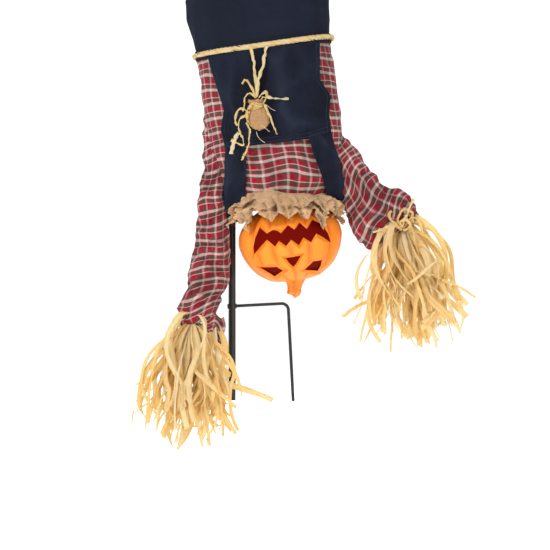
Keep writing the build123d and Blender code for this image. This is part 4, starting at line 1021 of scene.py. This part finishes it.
# ---------------------------------------------------------------- straw
def straw_bundle(name, root, down, seed, count, length, spread_x, spread_y, droop, open_to,
                 over, curl_by, root_r=9, steps=26, lean=(0, 0, 0), limit_y=None):
    """Strips that leave the root in all directions, droop and curl under their own weight.

    Strips open up to open_to degrees; the share called over loops back above the root."""
    rng = np.random.default_rng(seed)
    down = unit(np.asarray(down, float))
    azimuth = rng.uniform(0, 2 * math.pi, count)
    rise = rng.beta(1.3, 1.5, count) * math.radians(open_to)
    looping = rng.uniform(size=count) < over
    rise = np.where(looping, math.radians(95) + rng.uniform(0, 0.7, count), rise)
    flat = np.stack([np.cos(azimuth) * spread_x, np.sin(azimuth) * spread_y,
                     np.zeros(count)], axis=1)
    start_dir = unit(np.cos(rise)[:, None] * down + np.sin(rise)[:, None] * flat)
    lengths = length * rng.uniform(0.62, 1.0, count) ** 0.8
    start = root + root_r * unit(start_dir) * rng.uniform(0.2, 1, (count, 1))
    fall = np.where(looping, 26.0, droop) * rng.uniform(0.7, 1.5, count)
    fall_to = unit(down + np.asarray(lean) + rng.normal(scale=0.10, size=(count, 3)) * [1, 0.5, 0.2]
                   + 0.13 * start_dir * [1.4, 0.6, 0.3])
    paths = np.zeros((count, steps, 3))
    paths[:, 0] = start
    curl = unit(rng.normal(size=(count, 3)) * [1.0, 0.7, 0.5])
    curl_pace = rng.uniform(0.6, 1.9, count) * 2 * math.pi / 400
    curl_start = rng.uniform(0, 2 * math.pi, count)
    kink_at = rng.uniform(0.35, 0.9, count)
    kink = rng.normal(scale=0.55, size=(count, 3)) * (rng.uniform(size=(count, 1)) < 0.45)
    for k in range(1, steps):
        run = lengths * (k - 1) / (steps - 1)
        share = (1 - np.exp(-(run / fall) ** 1.3))[:, None]
        heading = start_dir * (1 - share) + fall_to * share
        grip = np.minimum(run / 70, 1.0)
        heading = heading + curl * (curl_by * grip * np.sin(curl_pace * run + curl_start))[:, None]
        heading = heading + kink * ((k / steps) > kink_at)[:, None]
        paths[:, k] = paths[:, k - 1] + unit(heading) * (lengths / (steps - 1))[:, None]
    if limit_y:
        low, high = limit_y
        paths[..., 1] -= np.maximum(paths[..., 1] - high, 0) * 0.9
        paths[..., 1] += np.maximum(low - paths[..., 1], 0) * 0.9
    w = rng.gamma(6.5, 1.55, count).clip(4, 15)[:, None]
    t = np.linspace(0, 1, steps)[None, :]
    taper = np.minimum(1, 0.5 + 2.6 * t) * np.where(
        rng.uniform(size=(count, 1)) < 0.3, np.clip((1.02 - t) * 7, 0.25, 1), 1.0)
    facing = unit(rng.normal(size=(count, 1, 3)) * [1.0, 0.4, 0.3])
    spin = rng.normal(scale=0.42, size=(count, 1)) * t * math.pi
    other = unit(np.cross(facing, down))
    sides = facing * np.cos(spin)[..., None] + other * np.sin(spin)[..., None]
    wobble = 1 + 0.12 * np.sin(t * rng.uniform(6, 20, (count, 1)) + rng.uniform(0, 6, (count, 1)))
    return ribbons(name, paths, w * taper * wobble, sides, STRAW, seed + 1, fold=0.35)


hand = straw_bundle("hanging_hand_straw_strips", HANGING_WRIST + [-8, -14, -8],
                    (-0.02, -0.10, -1.0), 101, 118, 296, 1.0, 0.5, droop=62, open_to=66,
                    over=0.14, curl_by=0.62, limit_y=(-140, -24))
place(hand, "hanging_hand", "raffia", "hanging_hand_straw")
hand = straw_bundle("raised_hand_straw_strips", RAISED_WRIST + [-2, -10, -2],
                    (0.12, -0.05, -1.0), 111, 122, 288, 1.0, 0.5, droop=66, open_to=76,
                    over=0.18, curl_by=0.62, lean=(0.02, 0, 0), limit_y=(-125, 15))
place(hand, "raised_hand", "raffia", "raised_hand_straw")


def tied_band(name, centre, down, body, stands_for, seed):
    """Several turns of black tape, slightly uneven."""
    half_w, half_d, tall = 20, 16, 12
    down = unit(np.asarray(down, float))
    across = unit(np.cross(down, [0, 1.0, 0]))
    turns, per = 5, 60
    t = np.linspace(0, 1, turns * per)
    angle = t * turns * 2 * math.pi
    wob = 1 + 0.05 * np.sin(angle * 3 + 1)
    centreline = (centre + across * (half_w * wob * np.cos(angle))[:, None]
                  + np.array([0, 1.0, 0]) * (half_d * wob * np.sin(angle))[:, None]
                  + down * (tall * (t - 0.5) + 1.5 * np.sin(angle + 1))[:, None])
    sides = np.repeat(down[None, None], len(t), axis=1)
    place(ribbons(name, centreline[None], np.full((1, len(t)), 5.0), sides, BLACK_TAPE, seed,
                  fold=0.1, thick=1.2), body, "black_tape", stands_for)


tied_band("hanging_hand_band", HANGING_WRIST + [0, -4, -22], (0, 0, -1), "hanging_hand",
          "hanging_hand_tie", 121)
tied_band("raised_hand_band", RAISED_WRIST + [1, -2, -22], (0.1, 0, -1), "raised_hand",
          "raised_hand_tie", 122)


# the loose end of the hanging cuff, beside the band
t, s = np.meshgrid(np.linspace(0, 1, 40), np.linspace(0, 1, 44), indexing="ij")
flap_x = -60 + 42 * s + 5 * np.sin(t * 5) * s
flap_z = 190 - (22 + 40 * s) * t - 6 * np.sin(s * 9)
flap = np.stack([flap_x, -86 + 16 * s**2 - 8 * np.sin(t * 3), flap_z], axis=-1)
ruck = 3.5 * waves(flap, 125, 20) + 5 * (creases(flap, 126, 26) - 0.5)
flap[..., 1] -= ruck
flap_uv = np.stack([0.05 + 0.05 * s, 0.43 + 0.07 * t], axis=-1)
# the tone follows the rucks and sets their painted shade
place(sheet("hanging_cuff_flap", flap, flap_uv, PLAID, thick=1.5, tone=0.5 + 0.08 * ruck),
      "hanging_arm", "plaid_flannel")


# ---------------------------------------------------------------- pouch on the bib
POUCH_U, POUCH_Y = -33.0, -124.0
steps, columns = 60, 90
t = np.linspace(0, 1, steps)
turn = full_turn(columns)
pouch_h = 124 + 66 * t
POUCH_SHARES = [0, 0.06, 0.2, 0.45, 0.65, 0.8, 0.88, 1.0]
half_w = np.interp(t, POUCH_SHARES, [4, 14, 21, 22.5, 19, 12, 12, 17])
half_d = np.interp(t, POUCH_SHARES, [2, 7, 11, 12.5, 11, 8, 9, 11])
pleat = 1 + 0.10 * np.sin(turn * 11)[None, :] * np.clip((t - 0.45) * 3, 0, 1)[:, None]
u = POUCH_U + half_w[:, None] * np.cos(turn) * pleat
y = POUCH_Y - half_d[:, None] * np.sin(turn) * pleat
pouch_points = spot(u, y, pouch_h[:, None] + 0 * u)
pouch_points += unit(pouch_points - spot(POUCH_U, POUCH_Y, 155.0)) * (
    1.3 * waves(pouch_points, 131, 22) + 0.8 * waves(pouch_points, 132, 9))[..., None]
uv = paired(np.linspace(0, 0.12, columns + 1)[None, :], (pouch_h / 1000)[:, None])
place(sheet("burlap_pouch_bag", pouch_points, uv, POUCH, closed=True, thick=1.2), "figure",
      "burlap", "pouch")


def raffia_runs(name, runs, body, seed, width=4.5, steps=40, *stands_for):
    """Single strips of raffia along given lines."""
    rng = np.random.default_rng(seed)
    paths = np.array([curve_through(run, steps) for run in runs])
    paths = paths + np.stack([waves(paths, seed + 3 + k, 18) for k in range(3)], -1) * 0.7
    n = len(paths)
    t = np.linspace(0, 1, steps)[None, :]
    widths = width * rng.uniform(0.7, 1.35, (n, 1)) * (1 + 0.18 * np.sin(
        t * rng.uniform(8, 25, (n, 1)) + rng.uniform(0, 6, (n, 1))))
    facing = unit(np.array([1.0, 0.2, 0.25]) + rng.normal(scale=0.5, size=(n, 1, 3)))
    spin = rng.normal(scale=0.8, size=(n, 1)) * t * math.pi
    sides = facing * np.cos(spin)[..., None] + np.array([0.0, 0.6, 0.8]) * np.sin(spin)[..., None]
    place(ribbons(name, paths, widths, sides, STRAW, seed, fold=0.9, thick=0.9), body,
          "raffia", *stands_for)


raffia_runs("pouch_raffia_strands", [
    [(56, -132, 668), (54, -128, 700), (50, -122, 735), (44, -118, 778)],
    [(56, -134, 668), (60, -130, 705), (70, -124, 735), (78, -118, 780)],
    [(54, -134, 664), (46, -136, 684), (38, -132, 698), (31, -126, 707), (25, -124, 696)],
    [(52, -136, 668), (40, -139, 677), (32, -137, 670), (28, -132, 652), (26, -126, 636)],
    [(60, -136, 666), (66, -140, 674), (75, -139, 678), (77, -136, 668), (70, -134, 652)],
    [(66, -136, 668), (82, -136, 666), (104, -130, 664), (126, -124, 664)],
    [(74, -134, 652), (80, -136, 636), (90, -132, 612), (100, -126, 586)],
    [(40, -134, 632), (26, -138, 642), (15, -136, 638), (8, -132, 620), (13, -132, 604)],
    [(34, -134, 628), (20, -136, 622), (16, -134, 602), (22, -130, 585), (27, -126, 564),
     (14, -124, 568), (0, -122, 574)],
    [(16, -130, 590), (8, -126, 574), (3, -122, 560), (1, -120, 544)],
    [(32, -134, 612), (40, -132, 596), (38, -128, 570), (31, -122, 548), (23, -118, 530)],
    [(44, -136, 650), (36, -138, 640), (34, -138, 624), (38, -136, 612)],
], "figure", 141, 6.2, 44, "pouch_raffia")

wraps = []
for k in range(5):
    a = np.linspace(0.2 * k, 2 * math.pi + 0.2 * k, 14)
    wraps.append(spot(POUCH_U + 14.5 * np.cos(a), POUCH_Y - 12 * np.sin(a),
                      175.5 + 2.3 * k - 4 + 1.6 * np.sin(a * 2 + k)))
raffia_runs("pouch_raffia_wraps", wraps, "figure", 151, 4.0)

raffia_runs("raised_wrist_raffia", [
    [(374, -78, 380), (366, -84, 402), (378, -86, 424), (396, -82, 418), (398, -78, 396)],
    [(378, -78, 382), (396, -84, 404), (412, -82, 398), (420, -78, 372)],
    [(376, -80, 384), (384, -86, 410), (394, -84, 436), (400, -80, 446)],
    [(372, -80, 384), (352, -84, 388), (330, -82, 380), (312, -78, 372)],
    [(374, -80, 378), (356, -86, 396), (346, -84, 414), (352, -80, 420)],
    [(376, -82, 386), (372, -90, 396), (384, -92, 400), (392, -88, 388), (380, -84, 376)],
], "raised_hand", 145, 6.5, 36)

threads = [curve_through(run, 16) for run in (
    [(55, -134, 592), (58, -132, 582), (64, -126, 575), (74, -122, 568)],
    [(66, -134, 606), (74, -132, 600), (84, -126, 592)],
    [(78, -130, 650), (86, -128, 643), (96, -124, 638)],
)]
place(tubes("pouch_loose_threads", threads, 0.5, THREAD, sides=5), "figure", "burlap")

# raffia rope round the waist
strands = []
for k in range(4):
    a = np.linspace(0, 2 * math.pi, 90)
    phase = a * 22 + k * math.pi / 2
    width, depth = torso_size(WAIST_H)
    off = 10.5 + 2.4 * np.cos(phase)
    strands.append(spot((width + off) * np.cos(a), TORSO_Y - (depth + off) * np.sin(a),
                        WAIST_H + 3.2 * np.sin(phase) + 1.2 * np.sin(a * 3)))
rope = np.array([curve_through(strand, 360) for strand in strands])
place(ribbons("waist_raffia_rope", rope, np.full((4, 360), 5.5), np.tile(BODY, (4, 360, 1)),
              STRAW, 161, fold=0.9, thick=1.0), "figure", "raffia", "waist_raffia")


# ---------------------------------------------------------------- legs
for side, leg_name, seed in ((-1, "pole_side_leg", 171), (1, "open_side_leg", 181)):
    rows, columns = 190, 130
    reach = np.linspace(-56, 348, rows)[:, None]
    angle = full_turn(columns)[None, :]
    half_w = np.interp(reach, [0, 90, 220, 348], [61, 57, 50, 46])
    half_d = np.interp(reach, [0, 90, 220, 348], [60, 56, 49, 44])
    ball = np.sqrt(np.clip(1 - (np.minimum(reach, 0) / 60) ** 2, 0.03, 1))
    base = spot(side * LEG_U + half_w * ball * np.cos(angle),
                LEG_Y - half_d * ball * np.sin(angle), HIP_H + reach + 0 * angle)
    sag = np.clip((reach - 200) / 140, 0, 1)
    rings = np.sin((reach + 9 * np.sin(angle + seed)) / 11.0) * 2.2 * sag
    lift = (2.0 * waves(base * [1, 1, 0.45], seed, 70) + 2.6 * (creases(base, seed + 1, 78) - 0.45)
            + rings) * np.clip((reach + 50) / 60, 0.0, 1)
    lift = np.where(reach < 20, np.minimum(lift, 0), lift)
    hem = 348 - reach
    lift = lift + 1.4 * (hem < 16) - 1.0 * np.exp(-((hem - 17) / 1.6) ** 2)
    # outside seam
    from_seam = np.abs((angle + math.pi) % (2 * math.pi) - math.pi)
    lift = lift + 1.3 * np.exp(-((from_seam / 0.035) ** 2))
    outward = unit(np.cos(angle)[..., None] * BAR + np.sin(angle)[..., None] * FRONT)
    points = base + outward * lift[..., None]
    uv = paired(np.linspace(0, 0.33, columns + 1)[None, :], reach / 1000)
    place(sheet(f"{leg_name}_denim", points, uv, DENIM, closed=True, thick=2.2), leg_name,
          "denim", f"{leg_name}_cloth", f"{leg_name}_stuffing")
    ankle = spot(side * LEG_U, LEG_Y, HIP_H + 330)
    foot = straw_bundle(f"{leg_name}_raffia_foot", ankle, BODY, seed + 5, 70, 132, 0.5, 0.45,
                        droop=400, root_r=16, steps=16, over=0.0, open_to=50, curl_by=0.3)
    place(foot, leg_name, "raffia", f"{leg_name}_straw")
    turns = []
    for k in range(4):
        a = np.linspace(0, 2 * math.pi, 20)
        turns.append(spot(side * LEG_U + 49.0 * np.cos(a), LEG_Y - 47.0 * np.sin(a),
                          HIP_H + 306 + 3 * k + 1.5 * np.sin(2 * a + k)))
    raffia_runs(f"{leg_name}_ankle_raffia", turns, leg_name, seed + 7, 5.0, 80)


# ---------------------------------------------------------------- floor, light, camera
FLOOR_Z = -0.115
FLOOR_HALF = 60.0
floor_mesh = bpy.data.meshes.new("studio_floor")
floor_mesh.from_pydata([(x * FLOOR_HALF, y * FLOOR_HALF, FLOOR_Z)
                        for x, y in ((-1, -1), (1, -1), (1, 1), (-1, 1))], [], [(0, 1, 2, 3)])
floor_mesh.materials.append(Material("studio_floor").finish(
    rgb(252, 252, 252), 0.9, Emission_Color=grey(1.0), Emission_Strength=0.6,
    Specular_IOR_Level=0.0))
new_object("studio_floor", floor_mesh)

# the camera sees a bright backdrop, while the object is lit by a dimmer one
world = bpy.data.worlds.new("studio")
bpy.context.scene.world = world
world.use_nodes = True
tree = world.node_tree
tree.nodes.clear()
choose = tree.nodes.new("ShaderNodeMixShader")
path_info = tree.nodes.new("ShaderNodeLightPath")
tree.links.new(path_info.outputs["Is Camera Ray"], choose.inputs[0])
for socket, strength in ((1, 0.46), (2, 1.15)):
    sky = tree.nodes.new("ShaderNodeBackground")
    sky.inputs[0].default_value = (1, 1, 1, 1)
    sky.inputs[1].default_value = strength
    tree.links.new(sky.outputs[0], choose.inputs[socket])
end = tree.nodes.new("ShaderNodeOutputWorld")
tree.links.new(choose.outputs[0], end.inputs[0])


AIM = Vector((0.1, 0.0, 0.5))
for name, place_at, size, power in (
    ("key_light", (-2.2, -3.4, 2.9), 1.6, 118),
    ("fill_light", (2.8, -2.8, 1.4), 2.4, 34),
    ("rim_light", (0.4, 3.2, 2.8), 2.0, 60),
):
    lamp = bpy.data.lights.new(name, "AREA")
    lamp.shape = "DISK"
    lamp.size = size
    lamp.energy = power
    made = new_object(name, lamp)
    made.location = place_at
    made.rotation_euler = (AIM - Vector(place_at)).to_track_quat("-Z", "Y").to_euler()

# a level camera, far enough away that the object looks flat
DISTANCE = 6.0
OBJECT_FRONT = 0.08
VIEW_WIDTH = 1.21
camera = bpy.data.cameras.new("camera")
camera.sensor_width = 36
eye = new_object("camera", camera)
eye.location = (0.0957, -DISTANCE, 0.2794)
eye.rotation_euler = (math.pi / 2, 0, 0)
camera.lens = camera.sensor_width * (DISTANCE - OBJECT_FRONT) / VIEW_WIDTH
camera.clip_end = 200
bpy.context.scene.camera = eye
bpy.context.scene.view_settings.view_transform = "Standard"
